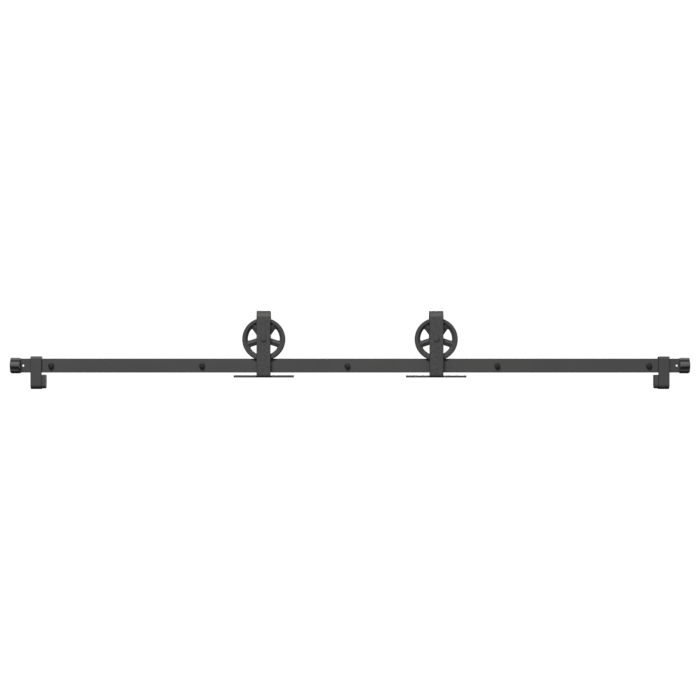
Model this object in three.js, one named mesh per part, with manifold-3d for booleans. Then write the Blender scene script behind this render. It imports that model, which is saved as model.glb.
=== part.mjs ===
// Sliding barn door hardware: a flat steel rail that stands off the wall on spacers, and two
// wheeled hangers that roll along its top edge and carry a door by their base plates.
// Millimetres. X runs along the rail, +Z is up, the wall face is the plane Y = 0 and the room
// is at negative Y. The origin is on the wall, behind the middle of the rail.
import * as THREE from 'three';
import { mergeVertices } from 'three/addons/utils/BufferGeometryUtils.js';
import Module from 'manifold-3d';

// ---------------------------------------------------------------- driving dimensions

// Clearances
const FACE_GAP = 0.2; // between two faces that bear on each other
const SEAT_GAP = 0.15; // round a piece that sits in a bore or a slot
const TREAD_GAP = 0.1; // between a wheel's tread and the rail
const CUT_MARGIN = 1; // how far a cutting body runs past what it cuts

// Rail
const RAIL_LENGTH = 1830; // a six foot rail
const RAIL_HEIGHT = 38;
const RAIL_THICKNESS = 6;
const END_HOLE = 6;
const END_HOLE_INSET = 26; // from the rail's end

// Wall fixings
const BOLT_COUNT = 5;
const FIRST_BOLT_INSET = 102.2; // leaves four equal bays of 16 inches, one per wall stud
const BOLT_SHIFTS = [0, 4, -7, -6, 0]; // where the holes are drilled off those bays
const LAG_SHANK = 8;
const LAG_LENGTH = 80;
const LAG_HEAD_ACROSS = 13;
const LAG_HEAD_HEIGHT = 5.5;
const LAG_POINT = 9;
const LAG_CLEARANCE = 0.5; // round the shank, in the rail, the washer and the spacer
const WASHER_DIAMETER = 16;
const WASHER_THICKNESS = 1.2;
const SPACER_DIAMETER = 20;
const SPACER_LENGTH = 35; // from the wall to the back of the rail

// End caps
const CAP_WALL = 3; // outside the rail's top and bottom edges
const CAP_END_WALL = 7;
const CAP_GRIP = 19.5; // length of rail inside the cap
const CAP_LOBES = 6;
const CAP_GROOVE_DEPTH = 1.8;
const CAP_FIRST_GROOVE = 40; // degrees up from the front
const CAP_MOUTH_CHAMFER = 2;
const CAP_MOUTH_LENGTH = 4;

// Stops
const STOP_INSET = 61.85; // from the rail's end to the middle of the stop
const STOP_WIDTH = 30;
const STOP_THICKNESS = 6;
const STOP_DROP = 45; // below the rail's bottom edge
const STOP_FOLD_RADIUS = 12; // outside of the fold that holds the bumper
const STOP_BACK_LEG = 23; // below the rail's top edge, behind the rail
const SET_SCREW_DIAMETER = 5;
const SET_SCREW_LENGTH = 9;
const SET_SCREW_SPACING = 16;
const SET_SCREW_DROP = 11; // below the rail's top edge
const SET_SCREW_KEY = 2.5;
const BUMPER_PROUD = 11.3; // past the edge of the stop, towards the hanger
const BUMPER_DROP = 5.7; // from the rail's bottom edge to the bumper's top
const BUMPER_LIP = 1.7; // how far the stop's outline stands past the bumper's
const BUMPER_TAIL_END = 1.5; // how far the bumper's tail stops short of the outer edge
const BUMPER_SCREW_DIAMETER = 4;
const BUMPER_SCREW_LENGTH = 14;
const BUMPER_SCREW_HEAD = 7;
const BUMPER_SCREW_HEAD_HEIGHT = 2.4;
const BUMPER_SCREW_DROP = 16; // below the bumper's top
const BUMPER_SCREW_KEY = 2.5;
const BUMPER_SCREW_KEY_DEPTH = 1.5;

// Hangers
const HANGER_SPACING = 469; // from wheel to wheel
const STRAP_WIDTH = 38;
const STRAP_THICKNESS = 6;
const STRAP_TOP_GAP = 13; // between the wheel and the top of the bend
const BASE_GAP = 7.4; // between the rail and the base plate
const BASE_LENGTH = 163.5;
const BASE_DEPTH = 36;
const BASE_CORNER = 5;
const BASE_BEND_INSIDE = 2;
const DOOR_SCREW_HOLE = 6.5;
const DOOR_SCREW_SINK = 12; // diameter at the plate's top face
const DOOR_SCREW_INSET = 16; // from the end of the base plate
const DOOR_SCREW_PITCH = 30;

// Wheels
const TREAD_RADIUS = 52.5;
const FLANGE_DEPTH = 5.9;
const WHEEL_WIDTH = 22;
const WHEEL_SIDE_GAP = 2; // to each leg of the strap
const GROOVE_SIDE_GAP = 1.5; // between the rail and each flange
const GROOVE_FLARE = 1.3; // how much wider each side of the groove is at its mouth
const RIM_DEPTH = 9.2; // from the tread in to the windows
const RIM_WEB = 10; // width of the rim at the windows
const RIM_SLOPE = 6.5; // radial length of the slope between the windows and the ring face
const RIM_EDGE = 2.8; // rounding of the flange
const SPOKE_COUNT = 5;
const FIRST_SPOKE = -90; // degrees, so that one spoke points straight down
const SPOKE_WIDTH = 18;
const SPOKE_EDGE = 8; // thickness along the spoke's edges
const SPOKE_RIDGE = 16; // thickness along its middle
const SPOKE_ROOT = 3; // how far a spoke runs into the rim and the hub
const HUB_WALL = 4.85; // round the bearings
const HUB_CHAMFER = 1;

// Axle and bearings: 10 x 26 x 8 ball bearings, one at each end of the hub
const AXLE_DIAMETER = 10;
const AXLE_TAIL = 10; // past the rear leg of the strap
const AXLE_HEAD_LIP = 0.5; // past the corners of the square neck
const AXLE_HEAD_HEIGHT = 2;
const AXLE_NECK_LENGTH = 4.5;
const NUT_ACROSS = 17;
const NUT_HEIGHT = 8;
const BEARING_DIAMETER = 26;
const BEARING_WIDTH = 8;
const BEARING_RING_WALL = 2.1; // of each ring, at its shoulders
const BALL_COUNT = 7;
const BALL_GAP = 0.4; // between the balls and the rings
const RACE_DEPTH = 0.7; // of each ball track, below its shoulder
const CAGE_RING = 1.4;
const CAGE_WIDTH = 2.4;
const HUB_SHOULDER_DEPTH = 2; // that the outer rings seat against
const SLEEVE_WALL = 1.4;
const AXLE_SPACER_WALL = 1.85;

// Roundness: sides round a full turn
const WHEEL_SIDES = 40;
const HUB_SIDES = 24;
const BEARING_SIDES = 20;
const FIXING_SIDES = 16;
const BALL_SIDES = 6;
const BALL_RINGS = 3;
const LOBE_STEPS = 6; // round each lobe of an end cap
const BEND_STEP = 15; // degrees

// ---------------------------------------------------------------- places worked out from them

const railBackY = -SPACER_LENGTH;
const railFrontY = railBackY - RAIL_THICKNESS;
const railMidY = (railBackY + railFrontY) / 2;
const railTopZ = RAIL_HEIGHT / 2;
const railBottomZ = -RAIL_HEIGHT / 2;
const railEndX = RAIL_LENGTH / 2;

const bay = (RAIL_LENGTH - 2 * FIRST_BOLT_INSET) / (BOLT_COUNT - 1);
const boltXs = BOLT_SHIFTS.map((shift, i) => i * bay + FIRST_BOLT_INSET - railEndX + shift);
const lagHole = LAG_SHANK + 2 * LAG_CLEARANCE;

const axleZ = railTopZ + TREAD_GAP + TREAD_RADIUS;
const flangeRadius = TREAD_RADIUS + FLANGE_DEPTH;
const rimInnerRadius = TREAD_RADIUS - RIM_DEPTH;
const wheelHalf = WHEEL_WIDTH / 2;
const strapInside = wheelHalf + WHEEL_SIDE_GAP;
const strapOutside = strapInside + STRAP_THICKNESS;
const shaftRadius = AXLE_DIAMETER / 2;
const shaftBore = shaftRadius + SEAT_GAP;
const axleNeck = shaftRadius + SEAT_GAP;
const axleHeadRadius = axleNeck * Math.SQRT2 + AXLE_HEAD_LIP;
const bearingRadius = BEARING_DIAMETER / 2;
const bearingSeat = bearingRadius + SEAT_GAP;
const hubRadius = bearingSeat + HUB_WALL;
const outerShoulder = bearingRadius - BEARING_RING_WALL;
const innerShoulder = shaftRadius + BEARING_RING_WALL;
const ballPitchRadius = (outerShoulder + innerShoulder) / 2;
const shoulderOffset = (outerShoulder - innerShoulder) / 2;
const ballRadius = shoulderOffset + RACE_DEPTH - BALL_GAP;
const trackHalf = Math.sqrt(ballRadius ** 2 - (shoulderOffset - BALL_GAP) ** 2);
const hubShoulderHalf = wheelHalf - BEARING_WIDTH - FACE_GAP;

// ---------------------------------------------------------------- finishes

const FINISHES = {
  coat: { color: 0x4b4b4b, roughness: 0.55, metalness: 0.4 },
  wheelCoat: { color: 0x505050, roughness: 0.5, metalness: 0.4 },
  blackBolt: { color: 0x262626, roughness: 0.45, metalness: 0.6 },
  rubber: { color: 0x404040, roughness: 0.8, metalness: 0 },
  zinc: { color: 0x9fa1a3, roughness: 0.35, metalness: 0.9 },
  bearingSteel: { color: 0xb4b6b8, roughness: 0.25, metalness: 1 },
  cageBrass: { color: 0xa58b52, roughness: 0.4, metalness: 0.8 },
};

// ---------------------------------------------------------------- making solids

const wasm = await Module();
wasm.setup();

const radians = THREE.MathUtils.degToRad;

/** A closed geometry as a solid that can be joined to others or cut by them. */
function solid(geometry) {
  geometry.deleteAttribute('normal');
  geometry.deleteAttribute('uv');
  const welded = mergeVertices(geometry, 1e-4);
  const corners = welded.index.array;
  const kept = [];
  for (let i = 0; i < corners.length; i += 3) {
    const [a, b, c] = [corners[i], corners[i + 1], corners[i + 2]];
    if (a !== b && b !== c && c !== a) kept.push(a, b, c);
  }
  return new wasm.Manifold(new wasm.Mesh({
    numProp: 3,
    vertProperties: new Float32Array(welded.attributes.position.array),
    triVerts: new Uint32Array(kept),
  }));
}

/** The surface of a solid as a three.js geometry. */
function surface(body) {
  const mesh = body.getMesh();
  const geometry = new THREE.BufferGeometry();
  geometry.setAttribute('position', new THREE.BufferAttribute(mesh.vertProperties, 3));
  geometry.setIndex(new THREE.BufferAttribute(mesh.triVerts, 1));
  geometry.computeVertexNormals();
  return geometry;
}

/** A block between two opposite corners. */
function block([x0, y0, z0], [x1, y1, z1]) {
  const geometry = new THREE.BoxGeometry(x1 - x0, y1 - y0, z1 - z0);
  geometry.translate((x0 + x1) / 2, (y0 + y1) / 2, (z0 + z1) / 2);
  return solid(geometry);
}

/** A profile turned about the Y axis. Its points are [radius, y]: they run up the outside and
 *  down the inside, and either start and end on the axis or close into a ring. */
function turned(profile, sides, x = 0, z = 0) {
  const onAxis = profile[0][0] === 0;
  const points = (onAxis ? profile : [...profile, profile[0]]).map(([r, y]) => new THREE.Vector2(r, y));
  const geometry = new THREE.LatheGeometry(points, sides);
  geometry.translate(x, 0, z);
  return solid(geometry);
}

/** A plain ring about the Y axis, between two ends in either order. */
function ring(outer, inner, endA, endB, sides) {
  const [y0, y1] = [Math.min(endA, endB), Math.max(endA, endB)];
  return turned([[outer, y0], [outer, y1], [inner, y1], [inner, y0]], sides);
}

/** A round bar along Y, from y0 to y1. */
function bar(radius, y0, y1, sides, x = 0, z = 0) {
  return turned([[0, y0], [radius, y0], [radius, y1], [0, y1]], sides, x, z);
}

/** A six-sided bar along Y, by its width across flats. */
function hexBar(across, y0, y1, x = 0, z = 0, turn = 0) {
  const corner = across / 2 / Math.cos(Math.PI / 6);
  const geometry = new THREE.CylinderGeometry(corner, corner, y1 - y0, 6);
  geometry.rotateY(radians(turn));
  geometry.translate(x, (y0 + y1) / 2, z);
  return solid(geometry);
}

/** An outline drawn in the Y-Z plane, carried along X between two ends in either order. */
function alongX(outline, endA, endB) {
  const geometry = new THREE.ExtrudeGeometry(outline, {
    depth: Math.abs(endB - endA),
    bevelEnabled: false,
  });
  const [x, y, z] = [[1, 0, 0], [0, 1, 0], [0, 0, 1]].map((v) => new THREE.Vector3(...v));
  geometry.applyMatrix4(new THREE.Matrix4().makeBasis(y, z, x));
  geometry.translate(Math.min(endA, endB), 0, 0);
  return solid(geometry);
}

/** The outline of a flat strip bent along a path in the Y-Z plane. Each move is a straight run
 *  of a length, or a bend of an angle in degrees (left is positive) with an inside radius. */
function bentStrip([startY, startZ], startHeading, thickness, moves) {
  let heading = radians(startHeading);
  const at = new THREE.Vector2(startY, startZ);
  const leftSide = [];
  const rightSide = [];
  const mark = () => {
    const side = new THREE.Vector2(-Math.sin(heading), Math.cos(heading)).multiplyScalar(thickness / 2);
    leftSide.push(at.clone().add(side));
    rightSide.push(at.clone().sub(side));
  };
  mark();
  for (const { run, bend, inside } of moves) {
    if (run) {
      at.add(new THREE.Vector2(Math.cos(heading), Math.sin(heading)).multiplyScalar(run));
      mark();
      continue;
    }
    const steps = Math.ceil(Math.abs(bend) / BEND_STEP);
    const step = radians(bend) / steps;
    const reach = Math.sign(bend) * (inside + thickness / 2);
    const centre = new THREE.Vector2(-Math.sin(heading), Math.cos(heading)).multiplyScalar(reach).add(at);
    for (let i = 0; i < steps; i += 1) {
      at.rotateAround(centre, step);
      heading += step;
      mark();
    }
  }
  return new THREE.Shape([...leftSide, ...rightSide.reverse()]);
}

/** A named mesh in one of the finishes. */
function piece(name, body, finish) {
  const mesh = new THREE.Mesh(surface(body), new THREE.MeshStandardMaterial(FINISHES[finish]));
  mesh.name = name;
  return mesh;
}

// ---------------------------------------------------------------- rail and wall fixings

/** The flat bar, with a hole for each lag bolt and a small one near each end. */
function rail() {
  let body = block([-railEndX, railFrontY, railBottomZ], [railEndX, railBackY, railTopZ]);
  const holes = boltXs.map((x) => [x, lagHole]);
  for (const side of [-1, 1]) holes.push([side * (railEndX - END_HOLE_INSET), END_HOLE]);
  for (const [x, diameter] of holes) {
    const drill = bar(diameter / 2, railFrontY - CUT_MARGIN, railBackY + CUT_MARGIN, FIXING_SIDES, x);
    body = body.subtract(drill);
  }
  return piece('rail', body, 'coat');
}

/** Hex lag bolt through the washer, the rail and the spacer, and on into the wall. */
function lagBolt(number) {
  const underHead = railFrontY - WASHER_THICKNESS - 2 * FACE_GAP;
  const tip = underHead + LAG_LENGTH;
  const radius = LAG_SHANK / 2;
  const shank = turned(
    [[0, underHead - CUT_MARGIN], [radius, underHead - CUT_MARGIN], [radius, tip - LAG_POINT], [0, tip]],
    FIXING_SIDES,
  );
  const head = hexBar(LAG_HEAD_ACROSS, underHead - LAG_HEAD_HEIGHT, underHead, 0, 0, 25 * number);
  return piece(`lag_bolt_${number}`, shank.add(head), 'blackBolt');
}

/** Flat washer under a lag bolt's head. */
function boltWasher(number) {
  const back = railFrontY - FACE_GAP;
  const body = ring(WASHER_DIAMETER / 2, lagHole / 2, back - WASHER_THICKNESS, back, FIXING_SIDES);
  return piece(`bolt_washer_${number}`, body, 'coat');
}

/** Sleeve that holds the rail off the wall. */
function wallSpacer(number) {
  const body = ring(SPACER_DIAMETER / 2, lagHole / 2, railBackY + FACE_GAP, 0, FIXING_SIDES);
  return piece(`wall_spacer_${number}`, body, 'coat');
}

// ---------------------------------------------------------------- end caps

/** The fluted outline of an end cap: rounded lobes with a sharp groove between each two. */
function lobedOutline(radius) {
  const steps = CAP_LOBES * LOBE_STEPS;
  const points = [];
  for (let i = 0; i < steps; i += 1) {
    const turn = (2 * Math.PI * i) / steps;
    const swell = Math.abs(Math.sin((CAP_LOBES * turn) / 2));
    const r = radius - CAP_GROOVE_DEPTH * (1 - swell) ** 2;
    const angle = Math.PI - radians(CAP_FIRST_GROOVE) + turn;
    points.push(new THREE.Vector2(railMidY + r * Math.cos(angle), r * Math.sin(angle)));
  }
  return new THREE.Shape(points);
}

/** Rubber cap pushed over one end of the rail. side is -1 for the left end, 1 for the right. */
function endCap(side, name) {
  const radius = RAIL_HEIGHT / 2 + CAP_WALL;
  const mouth = railEndX - CAP_GRIP;
  const end = railEndX + CAP_END_WALL;
  const fluted = alongX(lobedOutline(radius), side * mouth, side * end);
  const outer = radius + CUT_MARGIN;
  const chamfer = new THREE.LatheGeometry([
    [0, mouth],
    [radius - CAP_MOUTH_CHAMFER, mouth],
    [radius, mouth + CAP_MOUTH_LENGTH],
    [outer, mouth + CAP_MOUTH_LENGTH],
    [outer, end + CUT_MARGIN],
    [0, end + CUT_MARGIN],
  ].map(([r, x]) => new THREE.Vector2(r, x)), WHEEL_SIDES);
  chamfer.rotateZ(-side * Math.PI / 2);
  chamfer.translate(0, railMidY, 0);
  const slotEnd = side * (railEndX + FACE_GAP);
  const slotMouth = side * (mouth - CUT_MARGIN);
  const slot = block(
    [Math.min(slotEnd, slotMouth), railFrontY - SEAT_GAP, railBottomZ - SEAT_GAP],
    [Math.max(slotEnd, slotMouth), railBackY + SEAT_GAP, railTopZ + SEAT_GAP],
  );
  return piece(name, fluted.intersect(solid(chamfer)).subtract(slot), 'rubber');
}

// ---------------------------------------------------------------- stops

// Side view of a stop: it hooks over the rail, hangs down in front and folds up behind.
const hookFront = railFrontY - SEAT_GAP * 2;
const stopFront = hookFront - STOP_THICKNESS;
const hookBack = railBackY + SEAT_GAP * 2;
const stopBack = hookBack + STOP_THICKNESS;
const hookTop = railTopZ + SEAT_GAP * 2;
const foldY = stopFront + STOP_FOLD_RADIUS;
const foldZ = railBottomZ - STOP_DROP + STOP_FOLD_RADIUS;
const foldInside = STOP_FOLD_RADIUS - STOP_THICKNESS;
const bumperTop = railBottomZ - BUMPER_DROP;
const bumperScrewZ = bumperTop - BUMPER_SCREW_DROP;
const setScrewZ = railTopZ - SET_SCREW_DROP;

/** Side view of the steel part of a stop. */
function stopOutline() {
  const legEnd = railTopZ - STOP_BACK_LEG;
  const outline = new THREE.Shape();
  outline.moveTo(stopFront, hookTop + STOP_THICKNESS);
  outline.lineTo(stopFront, foldZ);
  outline.absarc(foldY, foldZ, STOP_FOLD_RADIUS, Math.PI, 2 * Math.PI, false);
  outline.lineTo(foldY + STOP_FOLD_RADIUS, bumperTop);
  outline.lineTo(foldY + foldInside, bumperTop);
  outline.absarc(foldY, foldZ, foldInside, 2 * Math.PI, Math.PI, true);
  outline.lineTo(hookFront, hookTop);
  outline.lineTo(hookBack, hookTop);
  outline.lineTo(hookBack, legEnd);
  outline.lineTo(stopBack, legEnd);
  outline.lineTo(stopBack, hookTop + STOP_THICKNESS);
  return outline;
}

/** Side view of a bumper's head or tail: a block with a round bottom. */
function bumperOutline(radius) {
  const outline = new THREE.Shape();
  outline.moveTo(foldY - radius, bumperTop);
  outline.absarc(foldY, foldZ, radius, Math.PI, 2 * Math.PI, false);
  outline.lineTo(foldY + radius, bumperTop);
  return outline;
}

/** Hooked steel plate of a stop, centred on x. */
function stopPlate(name, x) {
  let body = alongX(stopOutline(), x - STOP_WIDTH / 2, x + STOP_WIDTH / 2);
  for (const side of [-1, 1]) {
    const radius = SET_SCREW_DIAMETER / 2 + SEAT_GAP;
    const hole = bar(radius, hookBack - CUT_MARGIN, stopBack + CUT_MARGIN, FIXING_SIDES,
      x + side * SET_SCREW_SPACING / 2, setScrewZ);
    body = body.subtract(hole);
  }
  const screwHole = bar(BUMPER_SCREW_DIAMETER / 2 + SEAT_GAP, foldY, foldY + STOP_FOLD_RADIUS + CUT_MARGIN,
    FIXING_SIDES, x, bumperScrewZ);
  return piece(name, body.subtract(screwHole), 'coat');
}

/** Rubber bumper: a head towards the hanger and a tail held in the stop's fold. */
function stopBumper(name, x, inward) {
  const edge = x + inward * (STOP_WIDTH / 2 + SEAT_GAP * 2);
  const face = x + inward * (STOP_WIDTH / 2 + BUMPER_PROUD);
  const tailEnd = x - inward * (STOP_WIDTH / 2 - BUMPER_TAIL_END);
  const head = alongX(bumperOutline(STOP_FOLD_RADIUS - BUMPER_LIP), edge, face);
  const tail = alongX(bumperOutline(foldInside - SEAT_GAP * 2), tailEnd, edge);
  const hole = bar(BUMPER_SCREW_DIAMETER / 2 + SEAT_GAP,
    foldY + STOP_FOLD_RADIUS - BUMPER_SCREW_LENGTH - CUT_MARGIN, foldY + STOP_FOLD_RADIUS,
    FIXING_SIDES, x, bumperScrewZ);
  return piece(name, head.add(tail).subtract(hole), 'rubber');
}

/** Screw through the back of the fold that keeps the bumper in. */
function bumperScrew(name, x) {
  const seat = foldY + STOP_FOLD_RADIUS + FACE_GAP;
  const top = seat + BUMPER_SCREW_HEAD_HEIGHT;
  const radius = BUMPER_SCREW_DIAMETER / 2;
  const headRadius = BUMPER_SCREW_HEAD / 2;
  const body = turned([
    [0, seat - BUMPER_SCREW_LENGTH],
    [radius, seat - BUMPER_SCREW_LENGTH],
    [radius, seat],
    [headRadius, seat],
    [headRadius, seat + BUMPER_SCREW_HEAD_HEIGHT / 3],
    [headRadius * 0.75, top],
    [0, top],
  ], FIXING_SIDES, x, bumperScrewZ);
  const keyEnd = top - BUMPER_SCREW_KEY_DEPTH;
  const key = hexBar(BUMPER_SCREW_KEY, keyEnd, top + CUT_MARGIN, x, bumperScrewZ);
  return piece(name, body.subtract(key), 'blackBolt');
}

/** Headless screw in the back leg of a stop, which clamps it to the rail. */
function setScrew(name, x) {
  const tip = railBackY + SEAT_GAP;
  const end = tip + SET_SCREW_LENGTH;
  const body = bar(SET_SCREW_DIAMETER / 2, tip, end, FIXING_SIDES, x, setScrewZ);
  const key = hexBar(SET_SCREW_KEY, end - SET_SCREW_KEY, end + CUT_MARGIN, x, setScrewZ);
  return piece(name, body.subtract(key), 'blackBolt');
}

/** All the pieces of one stop. side is -1 for the left stop, 1 for the right one. */
function stop(side, word) {
  const x = side * (railEndX - STOP_INSET);
  const group = new THREE.Group();
  group.add(stopPlate(`${word}_stop_plate`, x));
  group.add(stopBumper(`${word}_stop_bumper`, x, -side));
  group.add(bumperScrew(`${word}_bumper_screw`, x));
  group.add(setScrew(`${word}_stop_set_screw_1`, x - SET_SCREW_SPACING / 2));
  group.add(setScrew(`${word}_stop_set_screw_2`, x + SET_SCREW_SPACING / 2));
  return group;
}

// ---------------------------------------------------------------- hangers
// Everything from here on is drawn about the middle of the axle, with Y along it.

const baseTop = railBottomZ - BASE_GAP - axleZ;
const baseBottom = baseTop - STRAP_THICKNESS;
const baseFront = -strapOutside + STRAP_THICKNESS + BASE_BEND_INSIDE;
const baseBack = baseFront + BASE_DEPTH;

/** The base plate's outline from above, with rounded corners. */
function baseOutline() {
  const [x, r] = [BASE_LENGTH / 2, BASE_CORNER];
  const outline = new THREE.Shape();
  outline.absarc(x - r, baseBack - r, r, 0, Math.PI / 2, false);
  outline.absarc(r - x, baseBack - r, r, Math.PI / 2, Math.PI, false);
  outline.absarc(r - x, baseFront + r, r, Math.PI, 1.5 * Math.PI, false);
  outline.absarc(x - r, baseFront + r, r, 1.5 * Math.PI, 2 * Math.PI, false);
  return outline;
}

/** Countersunk hole down through the base plate, for a screw into the door's top edge. */
function doorScrewCut(x) {
  const hole = DOOR_SCREW_HOLE / 2;
  const sink = DOOR_SCREW_SINK / 2;
  const profile = [
    [0, baseBottom - CUT_MARGIN],
    [hole, baseBottom - CUT_MARGIN],
    [hole, baseTop - (sink - hole)],
    [sink + CUT_MARGIN, baseTop + CUT_MARGIN],
    [0, baseTop + CUT_MARGIN],
  ].map(([r, z]) => new THREE.Vector2(r, z));
  const geometry = new THREE.LatheGeometry(profile, FIXING_SIDES);
  geometry.rotateX(Math.PI / 2);
  geometry.translate(x, (baseFront + baseBack) / 2, 0);
  return solid(geometry);
}

/** Steel strap over the wheel, bent under the rail into a T-shaped base plate. */
function strap() {
  const legMid = (strapInside + strapOutside) / 2;
  const bendZ = flangeRadius + STRAP_TOP_GAP - strapInside;
  const turnRadius = BASE_BEND_INSIDE + STRAP_THICKNESS / 2;
  const baseMid = (baseTop + baseBottom) / 2;
  const outline = bentStrip([legMid, 0], 90, STRAP_THICKNESS, [
    { run: bendZ },
    { bend: 180, inside: strapInside },
    { run: bendZ - baseMid - turnRadius },
    { bend: 90, inside: BASE_BEND_INSIDE },
    { run: BASE_DEPTH / 2 },
  ]);
  const plate = new THREE.ExtrudeGeometry(baseOutline(), {
    depth: STRAP_THICKNESS,
    bevelEnabled: false,
    curveSegments: 4,
  });
  plate.translate(0, 0, baseBottom);
  let body = alongX(outline, -STRAP_WIDTH / 2, STRAP_WIDTH / 2).add(solid(plate));
  body = body.add(bar(STRAP_WIDTH / 2, strapInside, strapOutside, HUB_SIDES));

  body = body.subtract(block(
    [-axleNeck, -strapOutside - CUT_MARGIN, -axleNeck],
    [axleNeck, -strapInside + CUT_MARGIN, axleNeck],
  ));
  body = body.subtract(bar(shaftBore, strapInside - CUT_MARGIN, strapOutside + CUT_MARGIN, FIXING_SIDES));
  const outer = BASE_LENGTH / 2 - DOOR_SCREW_INSET;
  for (const x of [-outer, DOOR_SCREW_PITCH - outer, outer - DOOR_SCREW_PITCH, outer]) {
    body = body.subtract(doorScrewCut(x));
  }
  return body;
}

/** Grooved rim: a flange on each side of the tread, and a slope in to the windows. */
function rim() {
  const tread = RAIL_THICKNESS / 2 + GROOVE_SIDE_GAP;
  const web = RIM_WEB / 2;
  const half = [
    [TREAD_RADIUS, tread],
    [flangeRadius - 0.3 * RIM_EDGE, tread + GROOVE_FLARE],
    [flangeRadius, tread + GROOVE_FLARE + 0.4 * RIM_EDGE],
    [flangeRadius, wheelHalf - 0.7 * RIM_EDGE],
    [flangeRadius - 0.35 * RIM_EDGE, wheelHalf - 0.25 * RIM_EDGE],
    [flangeRadius - RIM_EDGE, wheelHalf],
    [rimInnerRadius + RIM_SLOPE, wheelHalf],
    [rimInnerRadius + 0.7, web + 1],
    [rimInnerRadius, web],
  ];
  const otherHalf = half.map(([r, y]) => [r, -y]).reverse();
  return turned([...otherHalf, ...half], WHEEL_SIDES);
}

/** One spoke: a bar with a ridge along the middle of each face. */
function spoke(angle) {
  const [edge, ridge] = [SPOKE_EDGE / 2, SPOKE_RIDGE / 2];
  const section = new THREE.Shape([
    [-SPOKE_WIDTH / 2, -edge],
    [0, -ridge],
    [SPOKE_WIDTH / 2, -edge],
    [SPOKE_WIDTH / 2, edge],
    [0, ridge],
    [-SPOKE_WIDTH / 2, edge],
  ].map(([across, y]) => new THREE.Vector2(across, y)));
  const inner = hubRadius - SPOKE_ROOT;
  const geometry = new THREE.ExtrudeGeometry(section, {
    depth: rimInnerRadius + SPOKE_ROOT - inner,
    bevelEnabled: false,
  });
  geometry.translate(0, 0, inner);
  const out = new THREE.Vector3(Math.cos(angle), 0, Math.sin(angle));
  const axis = new THREE.Vector3(0, 1, 0);
  const across = axis.clone().cross(out);
  geometry.applyMatrix4(new THREE.Matrix4().makeBasis(across, axis, out));
  return solid(geometry);
}

/** Hub with a bearing seat at each end and a shoulder between them. */
function hub() {
  const shoulder = bearingRadius - HUB_SHOULDER_DEPTH;
  const cut = HUB_CHAMFER;
  const body = bar(hubRadius, cut - wheelHalf, wheelHalf - cut, HUB_SIDES)
    .add(bar(hubRadius - cut, -wheelHalf, wheelHalf, HUB_SIDES));
  const bore = turned([
    [0, -wheelHalf - CUT_MARGIN],
    [bearingSeat, -wheelHalf - CUT_MARGIN],
    [bearingSeat, -hubShoulderHalf],
    [shoulder, -hubShoulderHalf],
    [shoulder, hubShoulderHalf],
    [bearingSeat, hubShoulderHalf],
    [bearingSeat, wheelHalf + CUT_MARGIN],
    [0, wheelHalf + CUT_MARGIN],
  ], HUB_SIDES);
  return { body, bore };
}

/** Five-spoked grooved wheel. */
function wheel() {
  const { body: hubBody, bore } = hub();
  let body = rim().add(hubBody);
  for (let i = 0; i < SPOKE_COUNT; i += 1) {
    body = body.add(spoke(radians(FIRST_SPOKE + (360 / SPOKE_COUNT) * i)));
  }
  return body.subtract(bore);
}

/** Axle bolt: low domed head, square neck in the front leg, round shank through to the nut. */
function axleBolt() {
  const seat = -strapOutside - FACE_GAP;
  const end = strapOutside + AXLE_TAIL;
  const dome = [0, 0.35, 0.65, 0.88].map((share) => [
    axleHeadRadius * share,
    seat - AXLE_HEAD_HEIGHT * Math.sqrt(1 - share ** 2),
  ]);
  const shank = turned([
    ...dome,
    [axleHeadRadius, seat - 0.2 * AXLE_HEAD_HEIGHT],
    [axleHeadRadius, seat],
    [shaftRadius, seat],
    [shaftRadius, end - 1],
    [shaftRadius - 1, end],
    [0, end],
  ], BEARING_SIDES);
  const neckEnd = seat + AXLE_NECK_LENGTH;
  const neck = block([-shaftRadius, seat - 0.1, -shaftRadius], [shaftRadius, neckEnd, shaftRadius]);
  return shank.add(neck);
}

/** Nut on the axle, behind the rear leg. */
function axleNut() {
  const seat = strapOutside + FACE_GAP;
  const bore = bar(shaftBore, seat - CUT_MARGIN, seat + NUT_HEIGHT + CUT_MARGIN, FIXING_SIDES);
  return hexBar(NUT_ACROSS, seat, seat + NUT_HEIGHT).subtract(bore);
}

/** Outer ring of a bearing, centred on y, with its ball track inside. */
function outerRing(y) {
  const half = BEARING_WIDTH / 2;
  return turned([
    [bearingRadius, y - half],
    [bearingRadius, y + half],
    [outerShoulder, y + half],
    [outerShoulder, y + trackHalf],
    [outerShoulder + RACE_DEPTH, y],
    [outerShoulder, y - trackHalf],
    [outerShoulder, y - half],
  ], BEARING_SIDES);
}

/** Inner ring of a bearing, centred on y, with its ball track outside. */
function innerRing(y) {
  const half = BEARING_WIDTH / 2;
  return turned([
    [innerShoulder, y - half],
    [innerShoulder, y - trackHalf],
    [innerShoulder - RACE_DEPTH, y],
    [innerShoulder, y + trackHalf],
    [innerShoulder, y + half],
    [shaftBore, y + half],
    [shaftBore, y - half],
  ], BEARING_SIDES);
}

/** Balls of a bearing, held in their cage ring. */
function ballCage(y) {
  const [outer, inner] = [1, -1].map((side) => ballPitchRadius + side * CAGE_RING / 2);
  let body = ring(outer, inner, y - CAGE_WIDTH / 2, y + CAGE_WIDTH / 2, BEARING_SIDES);
  for (let i = 0; i < BALL_COUNT; i += 1) {
    const angle = (2 * Math.PI * i) / BALL_COUNT;
    const ball = new THREE.SphereGeometry(ballRadius, BALL_SIDES, BALL_RINGS);
    ball.translate(ballPitchRadius * Math.cos(angle), y, ballPitchRadius * Math.sin(angle));
    body = body.add(solid(ball));
  }
  return body;
}

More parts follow.
